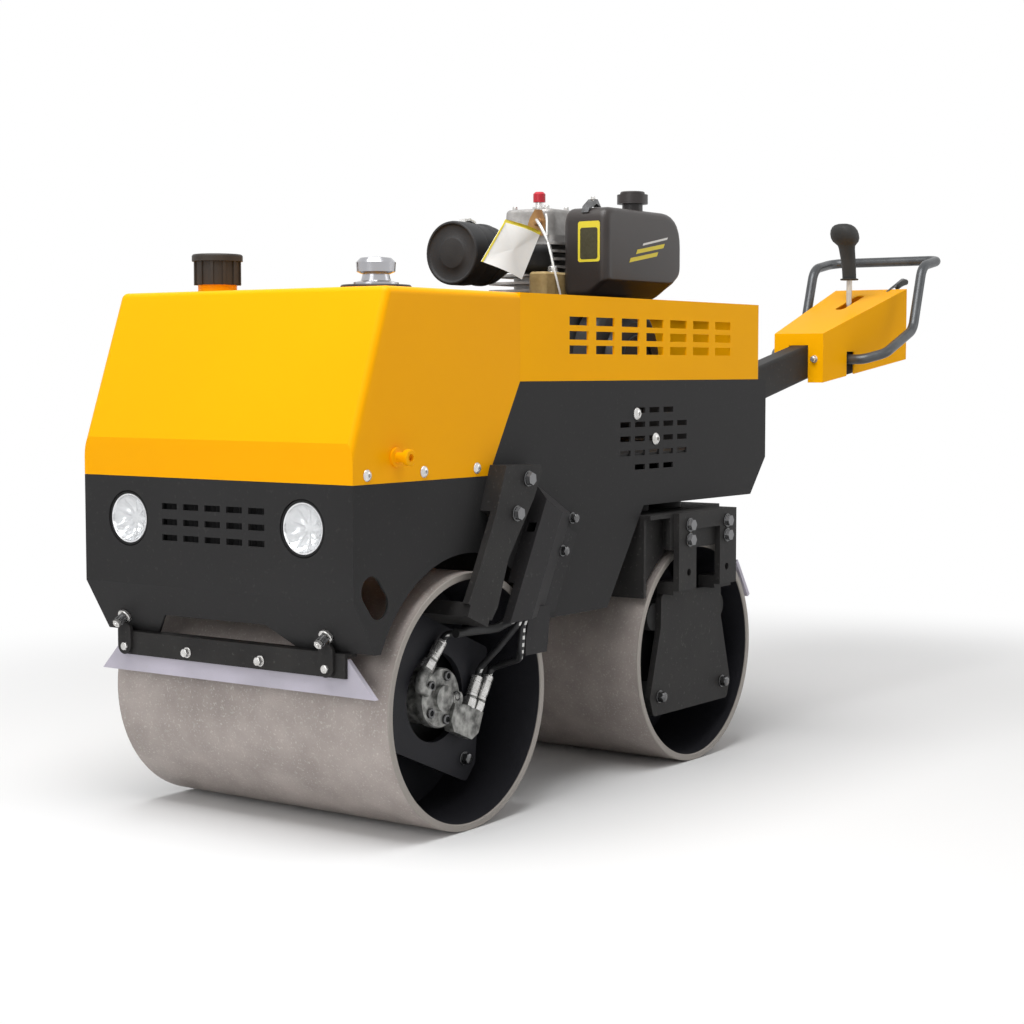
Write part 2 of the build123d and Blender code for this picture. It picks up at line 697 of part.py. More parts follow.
# ------------------------------------------------------------------- drive motor and hoses
# Hydraulic motor on the front left bearing plate, seen through the hanger's hole.
# Places are (along, up) in the carrier's leaning plane, from the axle.
motor_diameter, motor_cap_diameter = 92.0, 100.0
motor_shoulder, motor_face = motor_hanger_station - 4, motor_hanger_station + 14
motor_boss_diameter, motor_boss_reach = 44.0, 8.0
plug_place, plug_diameter, plug_reach = (39.0, 9.0), 26.0, 5.0
port_x, fitting_diameter, ferrule_diameter = motor_hanger_station + 12, 22.0, 20.0
port_block = (
    (45.0, -45.0),
    (30.0, -30.0),
    (30.0, 0.0),
    (64.0, 6.0),
    (112.0, 6.0),
    (112.0, -30.0),
    (98.0, -45.0),
)
port_block_start, port_block_end = motor_hanger_station + 2.5, motor_hanger_station + 22
elbow_root, elbow_corner, elbow_bend = (-40.0, 0.0), (-68.0, 0.0), 11.0
nut_length, hose_diameter = 16.0, 11.5
# Each port: (foot of its nut, end of its ferrule)
drain_port = ((-55.2, 33.7), (-33.0, 87.0))
pressure_port = ((80.0, 5.0), (85.0, 60.0))
return_port = ((105.0, 5.0), (116.0, 69.0))
motor_start = motor_hanger_station - hanger_thickness - buffer_length


def port_point(place):
    """A place of the leaning plane at the ports, on the machine."""
    return carrier_plane(port_x, front_axle_y, front_lean).from_local_coords(Vector(*place, 0))


with BuildPart() as drive_motor:
    with BuildSketch(carrier_plane(motor_start, front_axle_y, front_lean)):
        Circle(motor_diameter / 2)
    extrude(amount=motor_shoulder - motor_start)
    with BuildSketch(carrier_plane(motor_shoulder, front_axle_y, front_lean)):
        Circle(motor_cap_diameter / 2)
    extrude(amount=motor_face - motor_shoulder)
    chamfer(drive_motor.faces().sort_by(Axis.X)[-1].edges(), 2)
    with BuildSketch(carrier_plane(motor_face, front_axle_y, front_lean)):
        Circle(motor_boss_diameter / 2)
    extrude(amount=motor_boss_reach)
    with BuildSketch(carrier_plane(motor_face, front_axle_y, front_lean)):
        with Locations(plug_place):
            Circle(plug_diameter / 2)
    extrude(amount=plug_reach)
    with BuildSketch(carrier_plane(port_block_start, front_axle_y, front_lean)):
        with BuildLine():
            Polyline(*port_block, close=True)
        make_face()
    extrude(amount=port_block_end - port_block_start)
    with BuildLine() as elbow:
        FilletPolyline(
            *[port_point(place) for place in (elbow_root, elbow_corner, drain_port[0])],
            radius=elbow_bend,
        )
    with BuildSketch(Plane(origin=elbow.line @ 0, z_dir=elbow.line % 0)):
        Circle(ferrule_diameter / 2)
    sweep(path=elbow.line)
    for port in (drain_port, pressure_port, return_port):
        start, end = port_point(port[0]), port_point(port[1])
        along_port = Plane(origin=start, x_dir=(1, 0, 0), z_dir=end - start)
        with BuildSketch(along_port):
            RegularPolygon(fitting_diameter / 2, 6)
        extrude(amount=nut_length)
        with BuildSketch(along_port):
            Circle(ferrule_diameter / 2 - 1)
        extrude(amount=(end - start).length)
drive_motor.part.label = "drive_motor"
export_step(drive_motor.part, "parts/drive_motor.step")

# Hoses: from the ferrules out of the drum's end and up inside the cover to its
# bulkhead: (name, port, distance behind the cover's front wall, points between
# as distances out from the drum's end, behind its axle and above it)
cover_hose_x, hose_entry, hose_bend, hose_straight = half_drum + 12, -28.0, 14.0, 16.0
hoses = (
    ("drain_hose", drain_port, 20.7, ((-10.0, 78.0, 109.5),)),
    ("pressure_hose", pressure_port, 34.7, ((-25.0, 112.0, 73.5),)),
    ("return_hose", return_port, 48.7, ((0.0, 137.0, 53.5), (12.0, 124.0, 70.5))),
)
for name, port, behind, middle in hoses:
    start = port_point(port[1])
    leave = start + (start - port_point(port[0])).normalized() * hose_straight
    entry, top = [
        cover_plane(rise).from_local_coords(Vector(cover_hose_x - half_body, behind, 0))
        for rise in (hose_entry, bulkhead_rise)
    ]
    with BuildPart() as hose:
        with BuildLine() as route:
            FilletPolyline(
                start,
                leave,
                *[(half_drum + x, front_axle_y + y, axle_z + z) for x, y, z in middle],
                entry,
                top,
                radius=hose_bend,
            )
        with BuildSketch(Plane(origin=route.line @ 0, z_dir=route.line % 0)):
            Circle(hose_diameter / 2)
        sweep(path=route.line)
    hose.part.label = name
    export_step(hose.part, f"parts/{name}.step")

# ------------------------------------------------------------------- scrapers
# Front: an angle bar under the apron, with two flat adjusting arms in front of
# it, carries a polyurethane blade.
front_bar_inset, front_blade_ahead = 55.0, 31.5
front_bar_half = half_drum - front_bar_inset
front_blade_y = front_axle_y - drum_radius - front_blade_ahead
front_blade_low, front_blade_high = axle_z + 34.5, axle_z + 93.5
front_bar_low, front_bar_wall, front_bar_flange = axle_z + 63.5, 6.0, 22.0
arm_left, arm_right = front_bar_half - 35, 10 - front_bar_half
scraper_arm_width, scraper_arm_top = 30.0, 118.0
bar_top_z = apron_bottom_z - seat_gap
with BuildPart() as front_scraper_bar:
    with BuildSketch(Plane.YZ.offset(-front_bar_half)):
        with BuildLine():
            Polyline(
                (front_blade_y - front_bar_wall, front_bar_low),
                (front_blade_y - front_bar_wall, bar_top_z),
                (front_blade_y + front_bar_flange, bar_top_z),
                (front_blade_y + front_bar_flange, bar_top_z - front_bar_wall),
                (front_blade_y, bar_top_z - front_bar_wall),
                (front_blade_y, front_bar_low),
                close=True,
            )
        make_face()
    extrude(amount=2 * front_bar_half)
    arm_middle = (front_bar_low + axle_z + scraper_arm_top) / 2
    with BuildSketch(Plane.XZ.offset(front_bar_wall - front_blade_y)):
        with Locations((arm_left, arm_middle), (arm_right, arm_middle)):
            SlotOverall(
                axle_z + scraper_arm_top - front_bar_low, scraper_arm_width, rotation=90
            )
    extrude(amount=front_bar_wall)
front_scraper_bar.part.label = "front_scraper_bar"
export_step(front_scraper_bar.part, "parts/front_scraper_bar.step")

blade_thickness = 8.0
with BuildPart() as front_scraper_blade:
    with BuildSketch(Plane.XZ.offset(-front_blade_y)):
        with BuildLine():
            Polyline(
                (-half_drum, front_blade_low),
                (-front_bar_half, front_blade_high),
                (front_bar_half, front_blade_high),
                (half_drum, front_blade_low),
                close=True,
            )
        make_face()
    extrude(amount=-blade_thickness)
front_scraper_blade.part.label = "front_scraper_blade"
export_step(front_scraper_blade.part, "parts/front_scraper_blade.step")

rear_blade_angle, rear_blade_height = 34.0, 88.0
rear_blade_radius = drum_radius + scraper_gap
rear_blade_back = rear_blade_radius + blade_thickness
blade_turn = radians(rear_blade_angle)


def blade_point(outward, upward):
    """Point beside the rear blade, outward from the axle and up along the blade."""
    return (
        rear_axle_y + outward * cos(blade_turn) - upward * sin(blade_turn),
        axle_z + outward * sin(blade_turn) + upward * cos(blade_turn),
    )


with BuildPart() as rear_scraper_blade:
    with BuildSketch(Plane.YZ.offset(-half_drum)):
        with BuildLine():
            Polyline(
                blade_point(rear_blade_radius, -rear_blade_height / 2),
                blade_point(rear_blade_radius, rear_blade_height / 2),
                blade_point(rear_blade_back, rear_blade_height / 2),
                blade_point(rear_blade_back, -rear_blade_height / 2),
                close=True,
            )
        make_face()
    extrude(amount=drum_width)
rear_scraper_blade.part.label = "rear_scraper_blade"
export_step(rear_scraper_blade.part, "parts/rear_scraper_blade.step")

rear_bar_wall, rear_bar_reach, rear_bar_drop = 6.0, 75.0, 106.0
rear_bar_low, rear_bar_high = 8.0, 36.0      # its lip along the blade
rear_bar_back = fork_half + rear_bar_reach
with BuildPart() as rear_scraper_bar:
    with BuildSketch(Plane.YZ.offset(-front_bar_half)):
        with BuildLine():
            Polyline(
                (rear_axle_y + fork_half, axle_z + yoke_top),
                (rear_axle_y + rear_bar_back, axle_z + yoke_top),
                blade_point(rear_blade_back + rear_bar_wall, rear_bar_low),
                blade_point(rear_blade_back, rear_bar_low),
                blade_point(rear_blade_back, rear_bar_high),
                (rear_axle_y + rear_bar_back - rear_bar_wall, axle_z + yoke_top - rear_bar_drop),
                (rear_axle_y + rear_bar_back - rear_bar_wall, axle_z + yoke_top - rear_bar_wall),
                (rear_axle_y + fork_half, axle_z + yoke_top - rear_bar_wall),
                close=True,
            )
        make_face()
    extrude(amount=2 * front_bar_half)
rear_scraper_bar.part.label = "rear_scraper_bar"
export_step(rear_scraper_bar.part, "parts/rear_scraper_bar.step")

# ------------------------------------------------------------------- caps
# Screw cap on the water tank's neck: a ribbed skirt under a wider top.
filler_skirt_radius, filler_top_radius, filler_wall = 38.0, 43.0, 4.0
filler_height, filler_top_height, rib_count, rib_size = 52.0, 12.0, 12, 5.0
neck_top_z = top_z + neck_height
with BuildPart() as filler_cap:
    with BuildSketch(Plane.XY.offset(neck_top_z)):
        with Locations((filler_x, cap_y)):
            Circle(filler_skirt_radius)
            with PolarLocations(filler_skirt_radius, rib_count):
                Rectangle(rib_size, rib_size)
    extrude(amount=filler_height - filler_top_height)
    with BuildSketch(Plane.XY.offset(neck_top_z + filler_height - filler_top_height)):
        with Locations((filler_x, cap_y)):
            Circle(filler_top_radius)
    extrude(amount=filler_top_height)
    fillet(filler_cap.faces().sort_by(Axis.Z)[-1].edges(), filler_wall)
filler_cap.part.label = "filler_cap"
export_step(filler_cap.part, "parts/filler_cap.step")

breather_x, gasket_diameter, gasket_height = half_body - 105.5, 114.0, 6.0
with BuildPart() as cap_gasket:
    with BuildSketch(Plane.XY.offset(top_z)):
        with Locations((breather_x, cap_y)):
            Circle(gasket_diameter / 2)
    extrude(amount=gasket_height)
    chamfer(cap_gasket.faces().sort_by(Axis.Z)[-1].edges(), 2)
cap_gasket.part.label = "cap_gasket"
export_step(cap_gasket.part, "parts/cap_gasket.step")

# Half profile of the breather cap: (radius, height above the gasket)
breather_profile = (
    (0.0, 0.0),
    (36.5, 0.0),
    (36.5, 4.0),
    (24.0, 7.0),
    (21.5, 17.0),
    (31.0, 21.0),
    (32.0, 36.0),
    (25.0, 43.0),
    (0.0, 46.0),
)
breather_axis = Plane(
    origin=(breather_x, cap_y, top_z + gasket_height), x_dir=(1, 0, 0), z_dir=(0, -1, 0)
)
with BuildPart() as breather_cap:
    with BuildSketch(breather_axis):
        with BuildLine():
            Polyline(*breather_profile, close=True)
        make_face()
    revolve(axis=Axis((breather_x, cap_y, 0), (0, 0, 1)))
breather_cap.part.label = "breather_cap"
export_step(breather_cap.part, "parts/breather_cap.step")

# ------------------------------------------------------------------- lamps
# A moulded bowl held behind each hole by its flange, with a domed lens in front.
lamp_diameter, lamp_depth, lamp_flange, lamp_flange_width = 84.0, 46.0, 3.0, 8.0
for name, side in (("left", 1), ("right", -1)):
    lamp_axis = Axis((side * lamp_x, 0, lamp_z), (0, 1, 0))
    lamp_half = Plane(
        origin=(side * lamp_x, body_front, lamp_z), x_dir=(1, 0, 0), z_dir=(0, 0, 1)
    )
    with BuildPart() as headlamp:
        with BuildSketch(lamp_half):
            with BuildLine():
                ThreePointArc((0, 0), (lamp_diameter / 4, sheet * 0.3), (lamp_diameter / 2, sheet))
                Polyline(
                    (lamp_diameter / 2, sheet),
                    (lamp_hole / 2 + lamp_flange_width, sheet),
                    (lamp_hole / 2 + lamp_flange_width, sheet + lamp_flange),
                    (lamp_diameter / 2 - lamp_flange, sheet + lamp_flange),
                    (lamp_diameter * 0.3, lamp_depth),
                    (0, lamp_depth),
                    (0, 0),
                )
            make_face()
        revolve(axis=lamp_axis)
    headlamp.part.label = f"headlamp_{name}"
    export_step(headlamp.part, f"parts/headlamp_{name}.step")

# ------------------------------------------------------------------- engine
# Air-cooled single-cylinder diesel on the deck, its crankshaft along X: crankcase,
# finned barrel, head with rocker cover, blower housing with recoil starter, tank.
engine_ahead = 299.0         # its middle ahead of the guard's back wall
engine_y = guard_back - engine_ahead
foot_height, foot_x, foot_y, foot_corner = 14.0, 280.0, 290.0, 12.0
crankcase_x, crankcase_y, crankcase_height, crankcase_corner = 240.0, 230.0, 250.0, 30.0
cylinder_x = -34.0
case_z = deck_z + foot_height
cylinder_base_z = case_z + crankcase_height
with BuildPart() as engine_block:
    with BuildSketch(Plane.XY.offset(deck_z)):
        with Locations((0, engine_y)):
            RectangleRounded(foot_x, foot_y, foot_corner)
    extrude(amount=foot_height)
    with BuildSketch(Plane.XY.offset(case_z)):
        with Locations((0, engine_y)):
            RectangleRounded(crankcase_x, crankcase_y, crankcase_corner)
    extrude(amount=crankcase_height, taper=2)
engine_block.part.label = "engine_block"
export_step(engine_block.part, "parts/engine_block.step")

barrel_diameter, fin_size, fin_count, fin_pitch, fin_thickness = 116.0, 168.0, 9, 15.0, 5.0
fin_corner = 24.0
head_height, head_size = 14.0, 150.0
cover_x, cover_y, cover_height, cover_shift = 118.0, 112.0, 53.0, -8.0
head_z = cylinder_base_z + fin_count * fin_pitch
with BuildPart() as engine_cylinder:
    with BuildSketch(Plane.XY.offset(cylinder_base_z)):
        with Locations((cylinder_x, engine_y)):
            Circle(barrel_diameter / 2)
    extrude(amount=fin_count * fin_pitch)
    for fin in range(fin_count):
        with BuildSketch(Plane.XY.offset(cylinder_base_z + (fin + 1) * fin_pitch - fin_thickness)):
            with Locations((cylinder_x, engine_y)):
                RectangleRounded(fin_size, fin_size, fin_corner)
        extrude(amount=fin_thickness)
    with BuildSketch(Plane.XY.offset(head_z)):
        with Locations((cylinder_x, engine_y)):
            RectangleRounded(head_size, head_size, fin_corner / 2)
    extrude(amount=head_height)
    with BuildSketch(Plane.XY.offset(head_z + head_height)):
        with Locations((cylinder_x, engine_y + cover_shift)):
            RectangleRounded(cover_x, cover_y, fin_corner)
    extrude(amount=cover_height, taper=4)
    fillet(engine_cylinder.faces().sort_by(Axis.Z)[-1].edges(), 8)
engine_cylinder.part.label = "engine_cylinder"
export_step(engine_cylinder.part, "parts/engine_cylinder.step")

# Blower housing with the recoil starter on the left end of the crankshaft
fan_diameter, fan_depth, starter_diameter, starter_depth = 250.0, 46.0, 170.0, 20.0
crank_rise = 165.0
crank_z = deck_z + crank_rise
fan_start = crankcase_x / 2
with BuildPart() as fan_housing:
    with BuildSketch(Plane.YZ.offset(fan_start)):
        with Locations((engine_y, crank_z)):
            Circle(fan_diameter / 2)
    extrude(amount=fan_depth)
    fillet(fan_housing.faces().sort_by(Axis.X)[-1].edges(), 16)
    with BuildSketch(Plane.YZ.offset(fan_start + fan_depth)):
        with Locations((engine_y, crank_z)):
            Circle(starter_diameter / 2)
    extrude(amount=starter_depth, taper=20)
fan_housing.part.label = "fan_housing"
export_step(fan_housing.part, "parts/fan_housing.step")

# Fuel tank beside the head: (along the engine, height above its mount, corner radius)
tank_profile = (
    (-120.0, -6.0, 10.0),
    (-120.0, 158.0, 22.0),
    (60.0, 158.0, 60.0),
    (158.0, 122.0, 42.0),
    (158.0, 34.0, 10.0),
    (107.0, -6.0, 10.0),
)
tank_inner_x, tank_width, tank_rise, tank_foot = 93.0, 100.0, 300.0, 60.0
tank_round, tank_undercut, tank_undercut_height = 12.0, 14.0, 30.0
tank_low_z = deck_z + tank_rise
tank_outer_x = tank_inner_x + tank_width
with BuildPart() as fuel_tank:
    with BuildSketch(Plane.YZ.offset(tank_inner_x)):
        with BuildLine():
            FilletPolyline(
                *[(engine_y + y, tank_low_z + z) for y, z, _ in tank_profile],
                radius=[radius for _, _, radius in tank_profile],
                close=True,
            )
        make_face()
    extrude(amount=tank_width)
    fillet(fuel_tank.faces().sort_by(Axis.X)[-1].edges(), tank_round)
    with BuildSketch(Plane.XZ.offset(-engine_y)):
        with BuildLine():
            Polyline(
                (tank_outer_x - tank_undercut, tank_low_z - tank_undercut_height),
                (tank_outer_x - tank_undercut, tank_low_z + tank_undercut_height / 2),
                (tank_outer_x, tank_low_z + tank_undercut_height),
                (tank_outer_x, tank_low_z - tank_undercut_height),
                close=True,
            )
        make_face()
    extrude(amount=tank_width, both=True, mode=Mode.SUBTRACT)
    with BuildSketch(Plane.XY.offset(crank_z + fan_diameter / 2)):
        with Locations((tank_inner_x + tank_foot / 2, engine_y)):
            Rectangle(tank_foot, 2 * tank_foot)
    extrude(amount=tank_low_z - crank_z - fan_diameter / 2)
fuel_tank.part.label = "fuel_tank"
export_step(fuel_tank.part, "parts/fuel_tank.step")

fuel_cap_back = 50.0
tank_top_z = tank_low_z + tank_profile[1][1]
fuel_cap_y, fuel_cap_x = engine_y + fuel_cap_back, tank_inner_x + tank_width / 2
# (radius, height) steps of the fuel cap, from its neck up
fuel_cap_steps = ((20.0, 16.0), (30.0, 18.0), (24.0, 6.0))
with BuildPart() as fuel_cap:
    level = tank_top_z
    for radius, height in fuel_cap_steps:
        with BuildSketch(Plane.XY.offset(level)):
            with Locations((fuel_cap_x, fuel_cap_y)):
                Circle(radius)
        extrude(amount=height)
        level += height
    chamfer(fuel_cap.faces().sort_by(Axis.Z)[-1].edges(), 2)
fuel_cap.part.label = "fuel_cap"
export_step(fuel_cap.part, "parts/fuel_cap.step")

# Dry air cleaner: a ribbed cup that narrows to the duct into the head.
cleaner_x, cleaner_rise, cleaner_ahead = 12.0, 365.0, 357.0
cleaner_front = engine_y - cleaner_ahead
cleaner_z = deck_z + cleaner_rise
# (radius, distance behind its front face)
cleaner_profile = (
    (0.0, 0.0),
    (46.0, 0.0),
    (54.5, 8.0),
    (54.5, 34.0),
    (57.5, 36.0),
    (57.5, 44.0),
    (54.5, 46.0),
    (54.5, 78.0),
    (57.5, 80.0),
    (57.5, 88.0),
    (54.5, 90.0),
    (54.5, 104.0),
    (34.0, 152.0),
    (0.0, 152.0),
)
duct_width, duct_height = 64.0, 56.0
with BuildPart() as air_cleaner:
    with BuildSketch(Plane(origin=(cleaner_x, cleaner_front, cleaner_z), z_dir=(0, 0, 1))):
        with BuildLine():
            Polyline(*cleaner_profile, close=True)
        make_face()
    revolve(axis=Axis((cleaner_x, 0, cleaner_z), (0, 1, 0)))
    duct_front = cleaner_front + cleaner_profile[-1][1]
    with BuildSketch(Plane.XZ.offset(-duct_front)):
        with Locations((cleaner_x, cleaner_z)):
            RectangleRounded(duct_width, duct_height, 16)
    extrude(amount=duct_front - engine_y + fin_size / 2)
air_cleaner.part.label = "air_cleaner"
export_step(air_cleaner.part, "parts/air_cleaner.step")

# Injection pump on the crankcase, between the duct and the tank
pump_x, pump_ahead, pump_width, pump_length, pump_height = 71.0, 120.0, 40.0, 110.0, 73.0
with BuildPart() as injection_pump:
    with BuildSketch(Plane.XY.offset(cylinder_base_z)):
        with Locations((pump_x, engine_y - pump_ahead)):
            RectangleRounded(pump_width, pump_length, 10)
    extrude(amount=pump_height)
    chamfer(injection_pump.faces().sort_by(Axis.Z)[-1].edges(), 4)
injection_pump.part.label = "injection_pump"
export_step(injection_pump.part, "parts/injection_pump.step")

muffler_length, muffler_width, muffler_height = 190.0, 92.0, 100.0
muffler_x, muffler_rise = -74.0, 385.0
muffler_gap, pipe_radius = 24.0, 20.0
muffler_z = deck_z + muffler_rise
muffler_front = engine_y + fin_size / 2 + muffler_gap
with BuildPart() as muffler:
    with BuildSketch(Plane.YZ.offset(muffler_x - muffler_length / 2)):
        with Locations((muffler_front + muffler_width / 2, muffler_z)):
            RectangleRounded(muffler_width, muffler_height, 30)
    extrude(amount=muffler_length)
    chamfer(muffler.faces().filter_by(Axis.X).edges(), 8)
    with BuildSketch(Plane.XZ.offset(-engine_y - fin_size / 2)):
        with Locations((cylinder_x, muffler_z)):
            Circle(pipe_radius)
    extrude(amount=-2 * muffler_gap)
muffler.part.label = "muffler"
export_step(muffler.part, "parts/muffler.step")

valve_left, valve_ahead = 20.0, 42.0
head_top_z = head_z + head_height + cover_height
valve_x, valve_y = cylinder_x + valve_left, engine_y - valve_ahead
# (radius, height) steps of the valve, from the rocker cover up
valve_steps = ((13.0, 3.0), (7.0, 10.0), (12.0, 20.0))
with BuildPart() as decompression_valve:
    level = head_top_z
    for radius, height in valve_steps:
        with BuildSketch(Plane.XY.offset(level)):
            with Locations((valve_x, valve_y)):
                Circle(radius)
        extrude(amount=height)
        level += height
    chamfer(decompression_valve.faces().sort_by(Axis.Z)[-1].edges(), 4)
decompression_valve.part.label = "decompression_valve"
export_step(decompression_valve.part, "parts/decompression_valve.step")

# ------------------------------------------------------------------- operator's handle
# The handle folds up about a pin between two ears on the rear panel; its beam
# rests on the stop between them.
beam_slope = 12.0
beam_width, beam_height, beam_round = 50.0, 80.0, 8.0
pivot_back, pivot_rise, pin_diameter = 62.0, 32.0, 20.0
ear_thickness, ear_gap, ear_foot, ear_low, ear_high = 12.0, 1.0, 8.0, 60.0, 50.0
ear_nose, ear_corner = 26.0, 18.0
bracket_foot_width, bracket_foot_height = 116.0, 130.0
pin_head = 6.0
stop_length, stop_depth = 20.0, 10.0
pivot_y, pivot_z = body_back + pivot_back, deck_z + pivot_rise
ear_half = beam_width / 2 + ear_gap
slope = radians(beam_slope)


def beam_plane(x):
    """Plane across the handle at x, its local x along the beam from the pivot."""
    return Plane(origin=(x, pivot_y, pivot_z), x_dir=(0, cos(slope), sin(slope)), z_dir=(1, 0, 0))


def beam_z(y):
    """Height of the beam's centreline at y."""
    return pivot_z + (y - pivot_y) * tan(slope)


with BuildPart() as handle_bracket:
    with BuildSketch(Plane.XZ.offset(-body_back)):
        with Locations((0, pivot_z)):
            Rectangle(bracket_foot_width, bracket_foot_height)
    extrude(amount=-ear_foot)
    for start in (-ear_half - ear_thickness, ear_half):
        with BuildSketch(Plane.YZ.offset(start)) as ear:
            with BuildLine():
                Polyline(
                    (body_back + ear_foot, pivot_z - ear_low),
                    (pivot_y + ear_nose, pivot_z - ear_low),
                    (pivot_y + ear_nose, pivot_z + ear_nose),
                    (body_back + ear_foot, pivot_z + ear_high),
                    close=True,
                )
            make_face()
            fillet(ear.vertices().group_by(Axis.X)[-1], ear_corner)
        extrude(amount=ear_thickness)
    with BuildSketch(beam_plane(-ear_half)):
        with Locations((stop_length / 2, -beam_height / 2 - seat_gap - stop_depth / 2)):
            Rectangle(stop_length, stop_depth)
    extrude(amount=2 * ear_half)
    with BuildSketch(Plane.YZ.offset(-ear_half - ear_thickness - pin_head)):
        with Locations((pivot_y, pivot_z)):
            Circle(pin_diameter / 2)
    extrude(amount=2 * (ear_half + ear_thickness + pin_head))
handle_bracket.part.label = "handle_bracket"
export_step(handle_bracket.part, "parts/handle_bracket.step")

# Control box: (distance before the grip's end, half width, foot below and top
# above the beam's centreline) at its front and back
box_stations = ((492.5, 65.0, 48.0, 69.0), (97.5, 99.0, 75.0, 102.0))
box_wall, box_overlap = 3.0, 150.0
lever_before, lever_pivot_rise, lever_top_rise = 222.5, 43.5, 148.5
slot_before, slot_length, slot_width, slot_depth = 216.5, 132.0, 24.0, 100.0
side_slot_before, side_slot_width = 367.5, 34.0
lever_shaft, lever_stem = 16.0, 14.0
grip_half, grip_diameter = 150.0, 24.0
box_front_y = handle_end - box_stations[0][0]
lever_y = handle_end - lever_before
lever_pivot_z = beam_z(lever_y) + lever_pivot_rise
beam_length = (box_front_y + box_overlap - pivot_y) / cos(slope)
with BuildPart() as handle_beam:
    with BuildSketch(beam_plane(-beam_width / 2)):
        with Locations((beam_length / 2, 0)):
            Rectangle(beam_length, beam_height)
        Circle(beam_height / 2)
    extrude(amount=beam_width)
    long_edges = handle_beam.edges().filter_by(
        lambda edge: edge.length > beam_length / 2
    )
    fillet(long_edges, beam_round)
    with BuildSketch(beam_plane(-beam_width / 2)):
        Circle(pin_diameter / 2 + bearing_gap)
    extrude(amount=beam_width, mode=Mode.SUBTRACT)
handle_beam.part.label = "handle_beam"
export_step(handle_beam.part, "parts/handle_beam.step")


def box_block(inset):
    """The box's tapering block, drawn in by inset at its sides, ends and top."""
    with BuildPart() as block:
        for (before, half, low, high), inward in zip(box_stations, (1, -1)):
            station_y = handle_end - before
            with BuildSketch(Plane.XZ.offset(-station_y - inward * inset)):
                with Locations((0, beam_z(station_y) + (high - low) / 2 - inset)):
                    Rectangle(2 * (half - inset), high + low)
        loft(ruled=True)
    return block.part


with BuildPart() as control_box:
    add(box_block(0))
    add(box_block(box_wall), mode=Mode.SUBTRACT)
    with BuildSketch(beam_plane(-beam_width / 2 - seat_gap)):
        with Locations((beam_length / 2, 0)):
            Rectangle(beam_length + 1, beam_height + 2 * seat_gap)
    extrude(amount=beam_width + 2 * seat_gap, mode=Mode.SUBTRACT)
    with BuildSketch(Plane.XZ.offset(box_wall - box_front_y)):
        with Locations((0, beam_z(box_front_y) - beam_height)):
            Rectangle(beam_width + 2 * seat_gap, 2 * beam_height)
    extrude(amount=-3 * box_wall, mode=Mode.SUBTRACT)
    with BuildSketch(Plane.XY.offset(lever_pivot_z + lever_shaft)):
        with Locations((0, handle_end - slot_before)):
            SlotOverall(slot_length, slot_width, rotation=90)
    extrude(amount=slot_depth, mode=Mode.SUBTRACT)
    side_slot_y = handle_end - side_slot_before
    with BuildSketch(Plane.YZ.offset(-grip_half)):
        with Locations((side_slot_y, beam_z(side_slot_y) - beam_height)):
            Rectangle(side_slot_width, 2 * beam_height)
    extrude(amount=2 * grip_half, mode=Mode.SUBTRACT)
control_box.part.label = "control_box"
export_step(control_box.part, "parts/control_box.step")

# Half of the grip bar's route from the beam's side: (x, distance before the grip's
# end, rise above the beam's centreline), with the bend at each later corner
grip_points = (
    (beam_width / 2 + seat_gap, 367.5, -18.7),
    (grip_half - 40, 367.5, -18.7),
    (grip_half, 328.5, -12.0),
    (grip_half, 172.5, 13.0),
    (grip_half, 120.5, 162.0),
    (grip_half, grip_diameter / 2, 158.0),
)
grip_bends = [32, 40, 46, 46, 34]
with BuildPart() as grip_bar:
    with BuildLine() as route:
        left = [(x, handle_end - before, beam_z(handle_end - before) + rise)
                for x, before, rise in grip_points]
        right = [(-x, y, z) for x, y, z in reversed(left)]
        FilletPolyline(*left, *right, radius=grip_bends + grip_bends[::-1])
    with BuildSketch(Plane(origin=route.line @ 0, z_dir=route.line % 0)):
        Circle(grip_diameter / 2)
    sweep(path=route.line)
grip_bar.part.label = "grip_bar"
export_step(grip_bar.part, "parts/grip_bar.step")

lever_top_z = beam_z(lever_y) + lever_top_rise
lever_shaft_half = 84.3
with BuildPart() as drive_lever:
    with BuildSketch(Plane.XY.offset(lever_pivot_z)):
        with Locations((0, lever_y)):
            Circle(lever_stem / 2)
    extrude(amount=lever_top_z - lever_pivot_z)
    with BuildSketch(Plane.YZ.offset(-lever_shaft_half)):
        with Locations((lever_y, lever_pivot_z)):
            Circle(lever_shaft / 2)
    extrude(amount=2 * lever_shaft_half)
drive_lever.part.label = "drive_lever"
export_step(drive_lever.part, "parts/drive_lever.step")

# Moulded grip: a flange, a handle that widens, and a head that leans forward:
# (height, width, depth, cut of the corners, forward shift)
grip_sections = (
    (4.0, 33.0, 33.0, 9.5, 0.0),
    (80.0, 40.0, 40.0, 11.5, 2.0),
    (102.0, 66.0, 46.0, 11.0, 12.0),
    (126.0, 68.0, 50.0, 10.0, 20.0),
    (138.0, 56.0, 36.0, 8.0, 23.0),
)
flange_radius = 22.5
with BuildPart() as lever_grip:
    with BuildSketch(Plane.XY.offset(lever_top_z)):
        with Locations((0, lever_y)):
            Circle(flange_radius)
    extrude(amount=grip_sections[0][0])
    for lower, upper in zip(grip_sections, grip_sections[1:]):
        for height, width, depth, corner, shift in (lower, upper):
            with BuildSketch(Plane.XY.offset(lever_top_z + height)) as section:
                with Locations((0, lever_y - shift)):
                    Rectangle(width, depth)
                chamfer(section.vertices(), corner)
        loft(ruled=True)
lever_grip.part.label = "lever_grip"
export_step(lever_grip.part, "parts/lever_grip.step")

